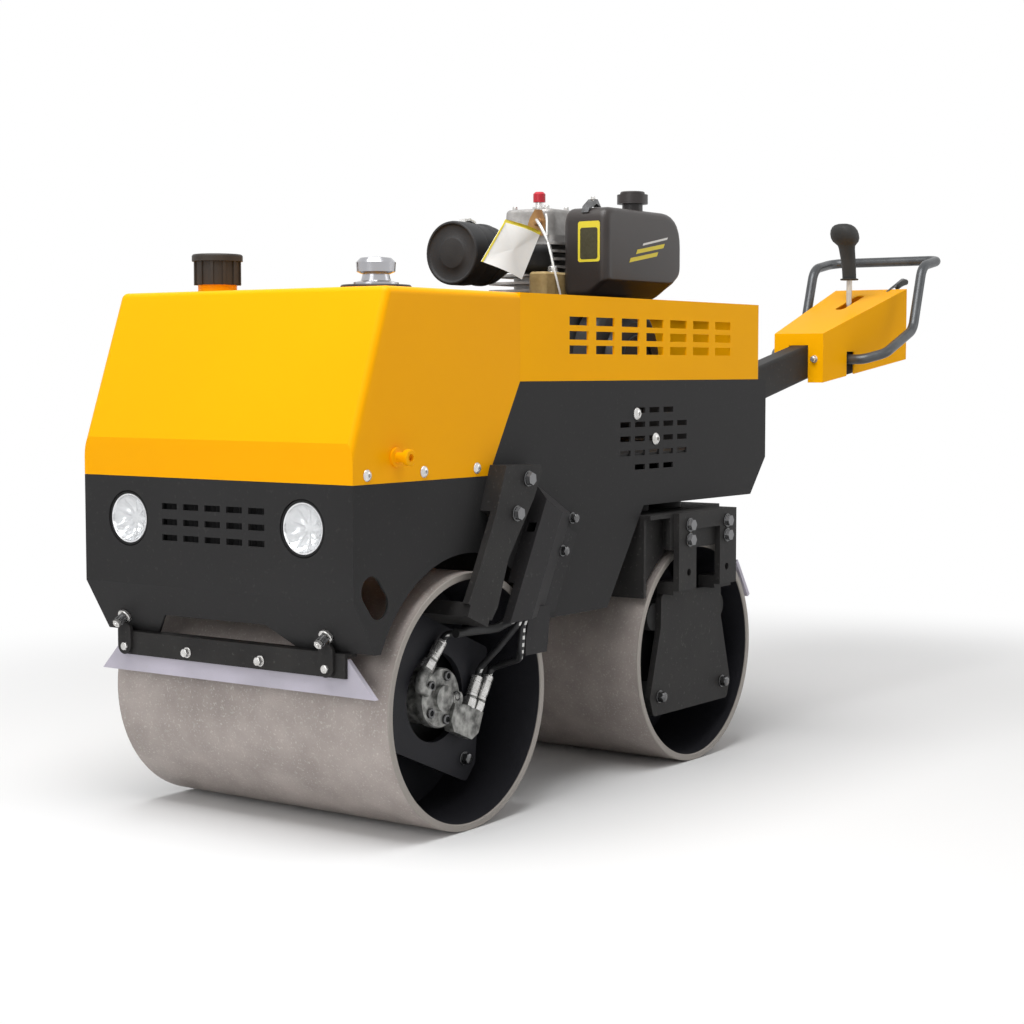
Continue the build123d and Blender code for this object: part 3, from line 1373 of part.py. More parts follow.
# Throttle on the box's top: (behind its foot, rise above the beam's centreline)
throttle_x, throttle_before, throttle_width = 55.0, 112.5, 6.0
throttle_profile = (
    (-8.0, 99.1),
    (85.0, 135.1),
    (109.0, 132.0),
    (111.0, 126.0),
    (80.0, 122.0),
    (15.0, 105.6),
)
throttle_y = handle_end - throttle_before
with BuildPart() as throttle_lever:
    with BuildSketch(Plane.YZ.offset(throttle_x - throttle_width / 2)):
        with BuildLine():
            Polyline(
                *[(throttle_y + y, beam_z(throttle_y) + rise) for y, rise in throttle_profile],
                close=True,
            )
        make_face()
    extrude(amount=throttle_width)
throttle_lever.part.label = "throttle_lever"
export_step(throttle_lever.part, "parts/throttle_lever.step")
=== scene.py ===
from math import radians
import bpy
import numpy as np
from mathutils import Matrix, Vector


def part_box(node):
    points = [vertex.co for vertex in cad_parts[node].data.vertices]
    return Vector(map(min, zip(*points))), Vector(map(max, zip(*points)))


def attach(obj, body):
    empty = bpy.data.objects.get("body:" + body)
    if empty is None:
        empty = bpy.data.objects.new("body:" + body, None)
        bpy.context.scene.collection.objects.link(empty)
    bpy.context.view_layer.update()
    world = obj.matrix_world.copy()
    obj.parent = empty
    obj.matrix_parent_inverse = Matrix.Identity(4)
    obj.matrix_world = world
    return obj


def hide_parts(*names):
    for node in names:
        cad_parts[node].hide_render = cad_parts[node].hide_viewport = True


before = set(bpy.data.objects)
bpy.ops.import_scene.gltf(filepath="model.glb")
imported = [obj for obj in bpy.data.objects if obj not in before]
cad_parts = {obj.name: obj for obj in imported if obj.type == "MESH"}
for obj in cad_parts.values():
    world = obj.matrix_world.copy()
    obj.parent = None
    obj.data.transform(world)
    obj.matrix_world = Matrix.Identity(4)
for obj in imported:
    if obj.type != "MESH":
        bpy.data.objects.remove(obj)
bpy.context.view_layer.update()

# Camera at waist height off the machine's front left corner, a short telephoto
# lens, looking slightly down along the body.
dip, swing = 4.133, 35.534
camera_data = bpy.data.cameras.new("camera")
camera_data.lens = 69.9
camera_data.sensor_width = 36.0
camera = bpy.data.objects.new("camera", camera_data)
camera.location = (2.2235, -3.5405, 0.7551)
camera.rotation_euler = (radians(90 - dip), 0, radians(swing))
bpy.context.scene.collection.objects.link(camera)
bpy.context.scene.camera = camera
bpy.context.scene.view_settings.view_transform = "Standard"


# Studio: a pale floor that runs out of sight, an even white room, one large
# overhead softbox, one in front and a weak side panel. The room shows white to
# the camera and in reflections.
def node(tree, kind, values=None, **settings):
    """New shader node of this kind, with its settings and the values of its sockets."""
    made = tree.nodes.new(f"ShaderNode{kind}")
    for key, value in settings.items():
        setattr(made, key, value)
    for key, value in (values or {}).items():
        made.inputs[key].default_value = value
    return made


def link(tree, *pairs):
    """Join each pair of sockets, the giving one first."""
    for source, target in pairs:
        tree.links.new(source, target)


def seen_directly(tree):
    """Socket that is 1 on camera, glossy and transmission rays: the largest of the three."""
    ray = node(tree, "LightPath")
    seen = node(tree, "Math", operation="MAXIMUM")
    seen_all = node(tree, "Math", operation="MAXIMUM")
    link(
        tree,
        (ray.outputs["Is Camera Ray"], seen.inputs[0]),
        (ray.outputs["Is Glossy Ray"], seen.inputs[1]),
        (seen.outputs[0], seen_all.inputs[0]),
        (ray.outputs["Is Transmission Ray"], seen_all.inputs[1]),
    )
    return seen_all.outputs[0]


white = (1.0, 1.0, 1.0, 1.0)
world = bpy.data.worlds.new("studio")
world.use_nodes = True
bpy.context.scene.world = world
room = world.node_tree
room.nodes.clear()
light_room = node(room, "Background", {"Color": white, "Strength": 0.40})
white_room = node(room, "Background", {"Color": white, "Strength": 1.0})
choose = node(room, "MixShader")
room_out = node(room, "OutputWorld")
link(
    room,
    (seen_directly(room), choose.inputs["Fac"]),
    (light_room.outputs[0], choose.inputs[1]),
    (white_room.outputs[0], choose.inputs[2]),
    (choose.outputs[0], room_out.inputs["Surface"]),
)


def softbox(name, place, aim, size, watts):
    """Square area lamp at place, turned so that its face looks at the point aim."""
    lamp = bpy.data.lights.new(name, "AREA")
    lamp.shape = "SQUARE"
    lamp.size = size
    lamp.energy = watts
    holder = bpy.data.objects.new(name, lamp)
    bpy.context.scene.collection.objects.link(holder)
    across = np.array(aim, float) - np.array(place, float)
    flat = np.hypot(across[0], across[1])
    holder.location = place
    holder.rotation_euler = (np.arctan2(flat, -across[2]), 0.0, np.arctan2(-across[0], across[1]))


softbox("softbox_top", (0.2, -1.7, 3.6), (0.0, -0.3, 0.5), 2.6, 145.0)
softbox("softbox_front", (0.3, -4.6, 1.9), (0.0, -0.8, 0.5), 1.8, 26.0)
softbox("softbox_left", (3.2, 2.4, 1.9), (0.0, 0.6, 0.7), 2.0, 16.0)

floor_half = 30.0
floor_corners = [(x * floor_half, y * floor_half, 0.0) for x, y in ((-1, -1), (1, -1), (1, 1), (-1, 1))]
floor_mesh = bpy.data.meshes.new("studio_floor")
floor_mesh.from_pydata(floor_corners, [], [(0, 1, 2, 3)])
floor = bpy.data.objects.new("studio_floor", floor_mesh)
bpy.context.scene.collection.objects.link(floor)
floor_paint = bpy.data.materials.new("floor_paint")
floor_paint.use_nodes = True
floor_tree = floor_paint.node_tree
floor_shader = floor_tree.nodes["Principled BSDF"]
floor_shader.inputs["Base Color"].default_value = (0.80, 0.80, 0.80, 1.0)
floor_shader.inputs["Roughness"].default_value = 0.9
floor_shader.inputs["Specular IOR Level"].default_value = 0.1
# Between these distances from its middle the floor turns into the white of the room,
# for the camera and for reflections; nearer, it keeps its shading and the shadow.
fade_from, fade_to = 0.9, 2.3
floor_place = node(floor_tree, "TexCoord")
floor_far = node(floor_tree, "VectorMath", operation="LENGTH")
floor_fade = node(floor_tree, "MapRange", {"From Min": fade_from, "From Max": fade_to},
                  interpolation_type="SMOOTHSTEP")
floor_share = node(floor_tree, "Math", operation="MULTIPLY")
floor_white = node(floor_tree, "Emission", {"Color": white, "Strength": 1.0})
floor_mix = node(floor_tree, "MixShader")
link(
    floor_tree,
    (floor_place.outputs["Object"], floor_far.inputs[0]),
    (floor_far.outputs["Value"], floor_fade.inputs["Value"]),
    (seen_directly(floor_tree), floor_share.inputs[0]),
    (floor_fade.outputs["Result"], floor_share.inputs[1]),
    (floor_share.outputs[0], floor_mix.inputs["Fac"]),
    (floor_shader.outputs[0], floor_mix.inputs[1]),
    (floor_white.outputs[0], floor_mix.inputs[2]),
    (floor_mix.outputs[0], floor_tree.nodes["Material Output"].inputs["Surface"]),
)
floor_mesh.materials.append(floor_paint)


# Frame: cheeks, yokes and rear hangers flame-cut from plate and welded, then
# sprayed satin black; a little grey road dust lies in the film.
def painted(name, colour, shade, rough, peel, metal=0.0, specular=0.3, drift=6.0, fleck=0.0):
    """Finish whose colour drifts between two tones by a soft noise over the piece's own
    coordinates, with a fine noise as bump of height peel (metres). fleck adds pale
    specks where a finer noise passes its threshold."""
    finish = bpy.data.materials.new(name)
    finish.use_nodes = True
    tree = finish.node_tree
    shader = tree.nodes["Principled BSDF"]
    place = node(tree, "TexCoord")
    cloud = node(tree, "TexNoise", {"Scale": drift, "Detail": 5.0})
    tones = node(tree, "ValToRGB")
    dark, light = tones.color_ramp.elements
    dark.position, light.position = 0.35, 0.7
    dark.color, light.color = (*shade, 1.0), (*colour, 1.0)
    grain = node(tree, "TexNoise", {"Scale": 420.0, "Detail": 2.0})
    bump = node(tree, "Bump", {"Strength": 0.6, "Distance": peel})
    gloss = node(tree, "MapRange", {"To Min": rough * 0.85, "To Max": rough * 1.2})
    speck = node(tree, "TexNoise", {"Scale": 150.0, "Detail": 3.0})
    sieve = node(tree, "MapRange", {"From Min": 0.62, "From Max": 0.72, "To Max": fleck})
    dusted = node(tree, "Mix", {"B": (0.42, 0.40, 0.37, 1.0)}, data_type="RGBA", name="dusted")
    link(
        tree,
        (place.outputs["Object"], cloud.inputs["Vector"]),
        (place.outputs["Object"], grain.inputs["Vector"]),
        (place.outputs["Object"], speck.inputs["Vector"]),
        (speck.outputs["Fac"], sieve.inputs["Value"]),
        (sieve.outputs["Result"], dusted.inputs["Factor"]),
        (cloud.outputs["Fac"], tones.inputs["Fac"]),
        (tones.outputs["Color"], dusted.inputs["A"]),
        (dusted.outputs["Result"], shader.inputs["Base Color"]),
        (cloud.outputs["Fac"], gloss.inputs["Value"]),
        (gloss.outputs["Result"], shader.inputs["Roughness"]),
        (grain.outputs["Fac"], bump.inputs["Height"]),
        (bump.outputs["Normal"], shader.inputs["Normal"]),
    )
    shader.inputs["Metallic"].default_value = metal
    shader.inputs["Specular IOR Level"].default_value = specular
    return finish


def finish_nodes(finish, *names):
    """Give every CAD node named here this finish."""
    for name in names:
        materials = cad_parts[name].data.materials
        materials.clear()
        materials.append(finish)


satin_black = dict(colour=(0.032, 0.031, 0.030), shade=(0.023, 0.022, 0.022), rough=0.5, peel=0.0003,
                   specular=0.12, drift=14.0, fleck=0.06)
frame_black = painted("frame_black", **satin_black)
finish_nodes(frame_black, "main_frame", "front_yoke", "rear_yoke", "rear_hanger_left", "rear_hanger_right")


# Forks: cut plates in the frame's satin black, with bolt heads of blackened steel on
# plain washers. Smaller bolts hold the rubber buffers to the hangers below them.
def turned(profile, sides=32):
    """Rings of a turned piece about local z. Each row of profile is radius, height and
    flats: the point at angle a is radius / cos(a6) ** flats from the axis, where a6 is the
    angle from the middle of its sixth of the turn, so flats 0 is round and 1 a hexagon."""
    radius, height, flats = np.array([(*row, 0.0)[:3] for row in profile]).T
    turn = np.linspace(0.0, 2 * np.pi, sides, endpoint=False)
    sixth = np.cos(np.mod(turn, np.pi / 3) - np.pi / 6)
    out = radius[:, None] / sixth ** flats[:, None]
    return np.stack([out * np.cos(turn), out * np.sin(turn), np.repeat(height[:, None], sides, 1)], -1)


def stand(rings, places, axis):
    """Copies of rings at places, their local z along axis: the rows of the turning matrix
    are a side direction, the one across it, and the axis."""
    axis = np.array(axis, float) / np.linalg.norm(axis)
    side = np.cross(axis, (0.0, 0.0, 1.0)) if abs(axis[2]) < 0.9 else np.cross(axis, (0.0, 1.0, 0.0))
    side = side / np.linalg.norm(side)
    matrix = np.stack([side, np.cross(axis, side), axis])
    return rings @ matrix + np.reshape(places, (-1, 1, 1, 3))


def skin(name, rings, finish, body, smooth=35.0, hoop=False):
    """Closed skins through rings, an array (copies, rings, points round, xyz): quads join
    each ring to the next, and end rings are filled, or joined where the piece is a hoop."""
    copies, count, around, _ = rings.shape
    index = np.arange(copies * count * around).reshape(copies, count, around)
    ahead = np.roll(index, -1, axis=1) if hoop else index[:, 1:]
    here = index if hoop else index[:, :-1]
    quads = np.stack([here, np.roll(here, -1, 2), np.roll(ahead, -1, 2), ahead], -1).reshape(-1, 4)
    ends = [] if hoop else np.concatenate([index[:, 0, ::-1], index[:, -1]]).tolist()
    mesh = bpy.data.meshes.new(name)
    mesh.from_pydata(rings.reshape(-1, 3).tolist(), [], quads.tolist() + ends)
    mesh.shade_smooth()
    mesh.set_sharp_from_angle(angle=radians(smooth))
    mesh.materials.append(finish)
    piece = bpy.data.objects.new(name, mesh)
    bpy.context.scene.collection.objects.link(piece)
    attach(piece, body)
    return piece


def bolts(name, places, axis, across, finish, body="chassis"):
    """Hexagon bolts on round washers, sized by the width across the flats."""
    half = across / 2
    head = turned((
        (1.30 * half, 0.0, 0), (1.36 * half, 0.03 * across, 0), (1.36 * half, 0.10 * across, 0),
        (1.30 * half, 0.13 * across, 0), (half, 0.13 * across, 1), (half, 0.62 * across, 1),
        (half, 0.70 * across, 0), (0.80 * half, 0.76 * across, 0),
    ), 24)
    return skin(name, stand(head, places, axis), finish, body)


front_low, front_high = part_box("front_drum_shell")
rear_low, rear_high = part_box("rear_drum_shell")
front_axle, rear_axle = (front_low[1] + front_high[1]) / 2, (rear_low[1] + rear_high[1]) / 2
half_drum, drum_radius = front_high[0], (front_high[2] - front_low[2]) / 2
axle_z = front_low[2] + drum_radius
lean = radians(22.7)


def leaning(along, up):
    """Y and Z of a place in the front carrier's leaning plane, from its axle."""
    return (front_axle + along * np.cos(lean) + up * np.sin(lean),
            axle_z - along * np.sin(lean) + up * np.cos(lean))


# The forks' finish turns to blackened steel on the heads, where |x| passes the plates'
# face by 0.2 to 0.5 mm.
head_height = 0.010
fork_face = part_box("rear_fork_left")[1][0] - head_height
fork_finish = painted("fork_black", **satin_black)
fork_tree = fork_finish.node_tree
fork_shader = fork_tree.nodes["Principled BSDF"]
fork_place = node(fork_tree, "TexCoord")
fork_parts = node(fork_tree, "SeparateXYZ")
fork_x = node(fork_tree, "Math", operation="ABSOLUTE")
on_head = node(fork_tree, "MapRange", {"From Min": fork_face + 0.0002, "From Max": fork_face + 0.0005})
steel = node(fork_tree, "Mix", {"B": (0.20, 0.20, 0.205, 1.0)}, data_type="RGBA")
link(
    fork_tree,
    (fork_place.outputs["Object"], fork_parts.inputs[0]),
    (fork_parts.outputs["X"], fork_x.inputs[0]),
    (fork_x.outputs[0], on_head.inputs["Value"]),
    (on_head.outputs["Result"], steel.inputs["Factor"]),
    (fork_tree.nodes["dusted"].outputs["Result"], steel.inputs["A"]),
    (steel.outputs["Result"], fork_shader.inputs["Base Color"]),
    (on_head.outputs["Result"], fork_shader.inputs["Metallic"]),
)
finish_nodes(fork_finish, "front_fork_left", "front_fork_right", "rear_fork_left", "rear_fork_right")
bolt_black = painted("bolt_black", (0.16, 0.16, 0.165), (0.09, 0.09, 0.09), 0.24, 0.0001, metal=0.9,
                     specular=0.5, drift=60.0)
washer = turned(((0.0132, 0.0), (0.0134, 0.0022), (0.0128, 0.0028), (0.0100, 0.0028), (0.0100, 0.0)), 32)
# Fork heads stand above the drums' tops: two in front, on the lean, and four behind.
fork_heads = [leaning(along, drum_radius + up) for along, up in ((-0.0225, 0.168), (-0.031, 0.1035))]
fork_heads += [(rear_axle + y, axle_z + drum_radius + z) for y in (-0.071, 0.071) for z in (0.008, 0.036)]
# The lower buffers' bolts lie 118 mm off the axle and 75 mm below it, either way.
buffer_feet = ((-0.118, -0.075), (0.118, -0.075))
buffer_spots = {"front": [leaning(*foot) for foot in buffer_feet],
                "rear": [(rear_axle + y, axle_z + z) for y, z in buffer_feet]}
for side, sign in (("left", 1), ("right", -1)):
    head_places = [(sign * fork_face, *head) for head in fork_heads]
    skin(f"fork_washers_{side}", stand(washer, head_places, (sign, 0, 0)), bolt_black, "chassis",
         hoop=True)
    for carrier, spots in buffer_spots.items():
        hanger_low, hanger_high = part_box(f"{carrier}_hanger_{side}")
        face = hanger_high[0] if sign > 0 else hanger_low[0]
        bolts(f"{carrier}_buffer_bolts_{side}", [(face, *spot) for spot in spots], (sign, 0, 0), 0.018,
              bolt_black)

# Axle mounts: a pressed bearing plate and its stub axle, held to the hanger by
# four black rubber buffers. The plate is sprayed with the frame, but here the whole mount takes the buffers'
# dull black.
buffer_black = painted("buffer_black", (0.028, 0.028, 0.028), (0.018, 0.018, 0.018), 0.6, 0.0004,
                       specular=0.2, drift=20.0)
finish_nodes(buffer_black, "front_axle_mount_left", "front_axle_mount_right",
             "rear_axle_mount_left", "rear_axle_mount_right")


# Drums: rolled mild steel left bare, worn dull and chipped by the ground, with
# plain rims; inside they are sprayed black, as are the welded webs.
def drum_finish(name, axle_y):
    """Bare steel outside and black inside, told apart by the distance from the axle: all
    bare from 4.5 mm below the running face. Rims, where |x| comes within 2 mm of the
    shell's end, have an even tone; pale chips and flecks are noises."""
    finish = painted(name, (0.44, 0.39, 0.365), (0.33, 0.29, 0.27), 0.5, 0.0010, metal=0.25,
                     specular=0.3, drift=14.0, fleck=0.75)
    tree = finish.node_tree
    place = node(tree, "TexCoord")
    centre = node(tree, "Mapping", {"Location": (0.0, -axle_y, -axle_z)})
    across = node(tree, "VectorMath", {1: (0.0, 1.0, 1.0)}, operation="MULTIPLY")
    far = node(tree, "VectorMath", operation="LENGTH")
    outside = node(tree, "MapRange", {"From Min": drum_radius - 0.0060, "From Max": drum_radius - 0.0045})
    chips = node(tree, "TexNoise", {"Scale": 260.0, "Detail": 4.0})
    chip_mask = node(tree, "MapRange", {"From Min": 0.58, "From Max": 0.70, "To Max": 0.55})
    chipped = node(tree, "Mix", {"B": (0.62, 0.59, 0.55, 1.0)}, data_type="RGBA")
    parts = node(tree, "SeparateXYZ")
    end = node(tree, "Math", operation="ABSOLUTE")
    rim = node(tree, "MapRange", {"From Min": half_drum - 0.0032, "From Max": half_drum - 0.0020})
    rimmed = node(tree, "Mix", {"B": (0.31, 0.285, 0.26, 1.0)}, data_type="RGBA")
    bare = node(tree, "Math", operation="MAXIMUM")
    whole = node(tree, "Mix", {"A": (0.018, 0.018, 0.022, 1.0)}, data_type="RGBA")
    link(
        tree,
        (place.outputs["Object"], centre.inputs["Vector"]),
        (place.outputs["Object"], chips.inputs["Vector"]),
        (place.outputs["Object"], parts.inputs[0]),
        (centre.outputs["Vector"], across.inputs[0]),
        (across.outputs["Vector"], far.inputs[0]),
        (far.outputs["Value"], outside.inputs["Value"]),
        (chips.outputs["Fac"], chip_mask.inputs["Value"]),
        (chip_mask.outputs["Result"], chipped.inputs["Factor"]),
        (tree.nodes["dusted"].outputs["Result"], chipped.inputs["A"]),
        (parts.outputs["X"], end.inputs[0]),
        (end.outputs[0], rim.inputs["Value"]),
        (rim.outputs["Result"], rimmed.inputs["Factor"]),
        (chipped.outputs["Result"], rimmed.inputs["A"]),
        (outside.outputs["Result"], bare.inputs[0]),
        (rim.outputs["Result"], bare.inputs[1]),
        (bare.outputs[0], whole.inputs["Factor"]),
        (rimmed.outputs["Result"], whole.inputs["B"]),
        (whole.outputs["Result"], tree.nodes["Principled BSDF"].inputs["Base Color"]),
    )
    return finish


finish_nodes(drum_finish("front_drum_steel", front_axle), "front_drum_shell")
finish_nodes(drum_finish("rear_drum_steel", rear_axle), "rear_drum_shell")
drum_black = painted("drum_black", (0.020, 0.020, 0.024), (0.012, 0.012, 0.015), 0.5, 0.0003, specular=0.2)
finish_nodes(drum_black, "front_drum_hub", "rear_drum_hub", "front_hanger_left", "front_hanger_right")

# Drive motor: a grey iron casting on the front left hanger, closed by five cap
# screws, with zinc-plated swivel nuts and crimped ferrules on its three ports.
motor_iron = painted("motor_iron", (0.46, 0.46, 0.44), (0.09, 0.09, 0.085), 0.36, 0.0008, metal=0.4,
                     specular=0.4, drift=70.0)
finish_nodes(motor_iron, "drive_motor")
zinc = painted("zinc_plate", (0.76, 0.75, 0.74), (0.54, 0.53, 0.51), 0.26, 0.0002, metal=0.75,
               specular=0.5, drift=90.0)
hanger_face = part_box("front_hanger_left")[1][0]
motor_face, port_face, screw_circle = hanger_face + 0.014, hanger_face + 0.012, 0.038
screw_turns = np.radians(np.arange(5) * 72.0 + 20.0)
screw_places = [(motor_face, *leaning(screw_circle * np.cos(a), screw_circle * np.sin(a)))
                for a in screw_turns]
socket = turned(((0.0085, -0.002), (0.0085, 0.0042), (0.0078, 0.005), (0.0050, 0.005), (0.0046, 0.0010)), 24)
skin("motor_cap_screws", stand(socket, screw_places, (1, 0, 0)), bolt_black, "chassis")
# Where each fitting starts and ends in the leaning plane: along it and up.
ports = (((-0.0552, 0.0337), (-0.0330, 0.0870)), ((0.0800, 0.0050), (0.0850, 0.0600)),
         ((0.1050, 0.0050), (0.1160, 0.0690)))
for number, (foot, end) in enumerate(ports, 1):
    start, stop = np.array((port_face, *leaning(*foot))), np.array((port_face, *leaning(*end)))
    long = np.linalg.norm(stop - start)
    fitting = turned((
        (0.0100, -0.0004, 1), (0.0107, 0.0008, 1), (0.0107, 0.0150, 1), (0.0100, 0.0164, 1),
        (0.0080, 0.0166, 0), (0.0080, 0.0200, 0), (0.0097, 0.0206, 0), (0.0099, 0.0250, 0),
        (0.0093, 0.0258, 0), (0.0093, 0.0300, 0), (0.0099, 0.0308, 0), (0.0099, long - 0.0100, 0),
        (0.0093, long - 0.0092, 0), (0.0093, long - 0.0050, 0), (0.0099, long - 0.0042, 0),
        (0.0096, long, 0), (0.0066, long + 0.0010, 0),
    ), 24)
    skin(f"hose_fitting_{number}", stand(fitting, [start], stop - start), zinc, "chassis")

# Hydraulic hoses: two-wire rubber hose with a fabric-marked cover and a broken
# white lay line printed along its outer side, in dashes by a sine of the height.
hose_rubber = painted("hose_rubber", (0.026, 0.026, 0.027), (0.016, 0.016, 0.017), 0.42, 0.0003,
                      specular=0.35, drift=40.0)
hose_tree = hose_rubber.node_tree
hose_place = node(hose_tree, "TexCoord")
hose_parts = node(hose_tree, "SeparateXYZ")
facing = node(hose_tree, "NewGeometry")
facing_parts = node(hose_tree, "SeparateXYZ")
line = node(hose_tree, "MapRange", {"From Min": 0.80, "From Max": 0.90})
scale_up = node(hose_tree, "Math", {1: 520.0}, operation="MULTIPLY")
wave = node(hose_tree, "Math", operation="SINE")
dash = node(hose_tree, "MapRange", {"From Min": -0.2, "From Max": 0.1})
both = node(hose_tree, "Math", operation="MULTIPLY")
printed = node(hose_tree, "Mix", {"B": (0.72, 0.72, 0.70, 1.0)}, data_type="RGBA")
link(
    hose_tree,
    (hose_place.outputs["Object"], hose_parts.inputs[0]),
    (facing.outputs["Normal"], facing_parts.inputs[0]),
    (facing_parts.outputs["X"], line.inputs["Value"]),
    (hose_parts.outputs["Z"], scale_up.inputs[0]),
    (scale_up.outputs[0], wave.inputs[0]),
    (wave.outputs[0], dash.inputs["Value"]),
    (line.outputs["Result"], both.inputs[0]),
    (dash.outputs["Result"], both.inputs[1]),
    (both.outputs[0], printed.inputs["Factor"]),
    (hose_tree.nodes["dusted"].outputs["Result"], printed.inputs["A"]),
    (printed.outputs["Result"], hose_tree.nodes["Principled BSDF"].inputs["Base Color"]),
)
finish_nodes(hose_rubber, "pressure_hose", "return_hose", "drain_hose")

# Scrapers: folded bars under the apron and on the rear yoke, each with a strip of
# pale polyurethane against its drum. Four zinc bolts clamp the front strip.
finish_nodes(frame_black, "front_scraper_bar", "rear_scraper_bar")
blade_white = painted("blade_white", (0.52, 0.49, 0.57), (0.43, 0.41, 0.47), 0.5, 0.0003, specular=0.3,
                      drift=9.0, fleck=0.2)
finish_nodes(blade_white, "front_scraper_blade", "rear_scraper_blade")
arm_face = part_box("front_scraper_bar")[0][1]
bar_face, blade_bolt_z = arm_face + 0.006, 0.2895
bolts("front_blade_bolts", [(x, bar_face, blade_bolt_z) for x in (-0.234, -0.094, 0.068, 0.209)],
      (0, -1, 0), 0.013, zinc)

# Adjusters: a shouldered bolt stands square on the apron above each scraper arm,
# with a washer, a compression spring of five turns and a lock nut.
apron_out, adjuster_z = (0.0, -0.862, -0.506), 0.340
adjusters = [(x, arm_face + 0.0015, adjuster_z) for x in (-0.235, 0.210)]
shank = turned((
    (0.0120, -0.003), (0.0125, 0.0016), (0.0115, 0.0028), (0.0040, 0.0030), (0.0040, 0.0165),
    (0.0062, 0.0167, 1), (0.0065, 0.0172, 1), (0.0065, 0.0226, 1), (0.0060, 0.0232, 0),
    (0.0034, 0.0234, 0), (0.0032, 0.0250, 0),
), 24)
skin("scraper_adjusters", stand(shank, adjusters, apron_out), zinc, "chassis")


def piped(path, radius, sides=12):
    """Rings of a round rod along path: at each point the ring lies in the plane of two
    directions square to the path's slope there, one of them as level as can be."""
    path = np.asarray(path, float)
    slope = np.gradient(path, axis=0)
    slope /= np.linalg.norm(slope, axis=1, keepdims=True)
    level = np.cross(slope, (0.05, 0.03, 1.0))
    level /= np.linalg.norm(level, axis=1, keepdims=True)
    upright = np.cross(slope, level)
    turn = np.linspace(0.0, 2 * np.pi, sides, endpoint=False)[None, :, None]
    ring = level[:, None] * np.cos(turn) + upright[:, None] * np.sin(turn)
    return (path[:, None] + radius * ring)[None]


spring_radius, spring_wire, spring_turns = 0.0072, 0.0011, 5
spring_foot, spring_rise = 0.0042, 0.0113
wind = np.linspace(0.0, spring_turns * 2 * np.pi, 121)
helix = np.stack([spring_radius * np.cos(wind), spring_radius * np.sin(wind),
                  spring_foot + spring_rise * wind / wind[-1]], -1)
coils = [piped(coil, spring_wire, 8) for coil in stand(helix[:, None], adjusters, apron_out)[:, :, 0]]
skin("scraper_springs", np.concatenate(coils), bolt_black, "chassis")

# Hose sleeve: a thick rubber sleeve over the upper hose where it leaves the drum's
# end and turns up into the cover. Its way is two parabolas, back and then up.
sleeve_black = painted("sleeve_black", (0.022, 0.022, 0.023), (0.014, 0.014, 0.014), 0.5, 0.0004,
                       specular=0.3, drift=30.0)
drum_end = np.array((half_drum, front_axle, axle_z))
sleeve_way = [(-0.015 + 0.003 * s, -0.020 + 0.098 * s, 0.1135 - 0.0035 * s ** 2)
              for s in np.linspace(0.0, 0.85, 10)]
sleeve_way += [(-0.009 + 0.016 * s, 0.078 + 0.030 * s, 0.1105 + 0.009 * s * (1 + s))
               for s in np.linspace(0.15, 1.0, 8)]
skin("hose_sleeve", piped(drum_end + np.array(sleeve_way), 0.0078, 16), sleeve_black, "chassis",
     smooth=60.0)

# Side and end covers: laser-cut 4 mm sheet under a charcoal powder coat. Each side
# panel is held by two bright dome-headed screws among its vents.
charcoal_coat = painted("charcoal_coat", (0.031, 0.0305, 0.031), (0.026, 0.0255, 0.026), 0.5, 0.0002,
                        specular=0.08, drift=3.0, fleck=0.02)
finish_nodes(charcoal_coat, "side_panel_left", "side_panel_right", "front_panel", "rear_panel")
panel_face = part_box("side_panel_left")[1][0]
dome = turned(((0.0110, 0.0), (0.0115, 0.0012), (0.0100, 0.0034), (0.0072, 0.0052), (0.0042, 0.0060),
               (0.0034, 0.0060), (0.0030, 0.0030)), 28)
screw_spots = ((front_axle + 0.520, 0.672), (front_axle + 0.585, 0.6246))
for side, sign in (("left", 1), ("right", -1)):
    places = [(sign * panel_face, *spot) for spot in screw_spots]
    skin(f"panel_screws_{side}", stand(dome, places, (sign, 0, 0)), zinc, "chassis")

# Grille baffle: a corrugated black sheet, 250 mm wide, close behind the front
# panel's vents; its depth follows a sine across the machine.
lamp_black = painted("lamp_black", (0.015, 0.015, 0.016), (0.010, 0.010, 0.010), 0.5, 0.0002, specular=0.2)
baffle_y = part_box("front_panel")[0][1] + 0.016
baffle_half, wave_height, wave_length, baffle_sheet = 0.125, 0.0025, 0.0125, 0.001
across = np.linspace(-baffle_half, baffle_half, 121)
sheet_y = baffle_y + wave_height * np.sin(2 * np.pi * across / wave_length)
sheet = np.concatenate([np.stack([across, sheet_y], -1),
                        np.stack([across, sheet_y + baffle_sheet], -1)[::-1]])
baffle = np.stack([np.column_stack([sheet, np.full(len(sheet), z)]) for z in (0.440, 0.560)])
skin("grille_baffle", baffle[None], lamp_black, "chassis")

# Hose covers: folded wedges of 4 mm sheet in nearly the same coat as the panels,
# held by two blackened bolts through their flange.
cover_coat = painted("cover_coat", (0.031, 0.030, 0.031), (0.024, 0.023, 0.024), 0.45, 0.0002,
                     specular=0.10, drift=5.0, fleck=0.04)
finish_nodes(cover_coat, "side_bracket_left", "side_bracket_right")
flange_face = panel_face + 0.004
cover_spots = ((front_axle + 0.302, 0.4945), (front_axle + 0.2715, 0.4395))
for side, sign in (("left", 1), ("right", -1)):
    bolts(f"cover_bolts_{side}", [(sign * flange_face, *spot) for spot in cover_spots],
          (sign, 0, 0), 0.015, bolt_black)

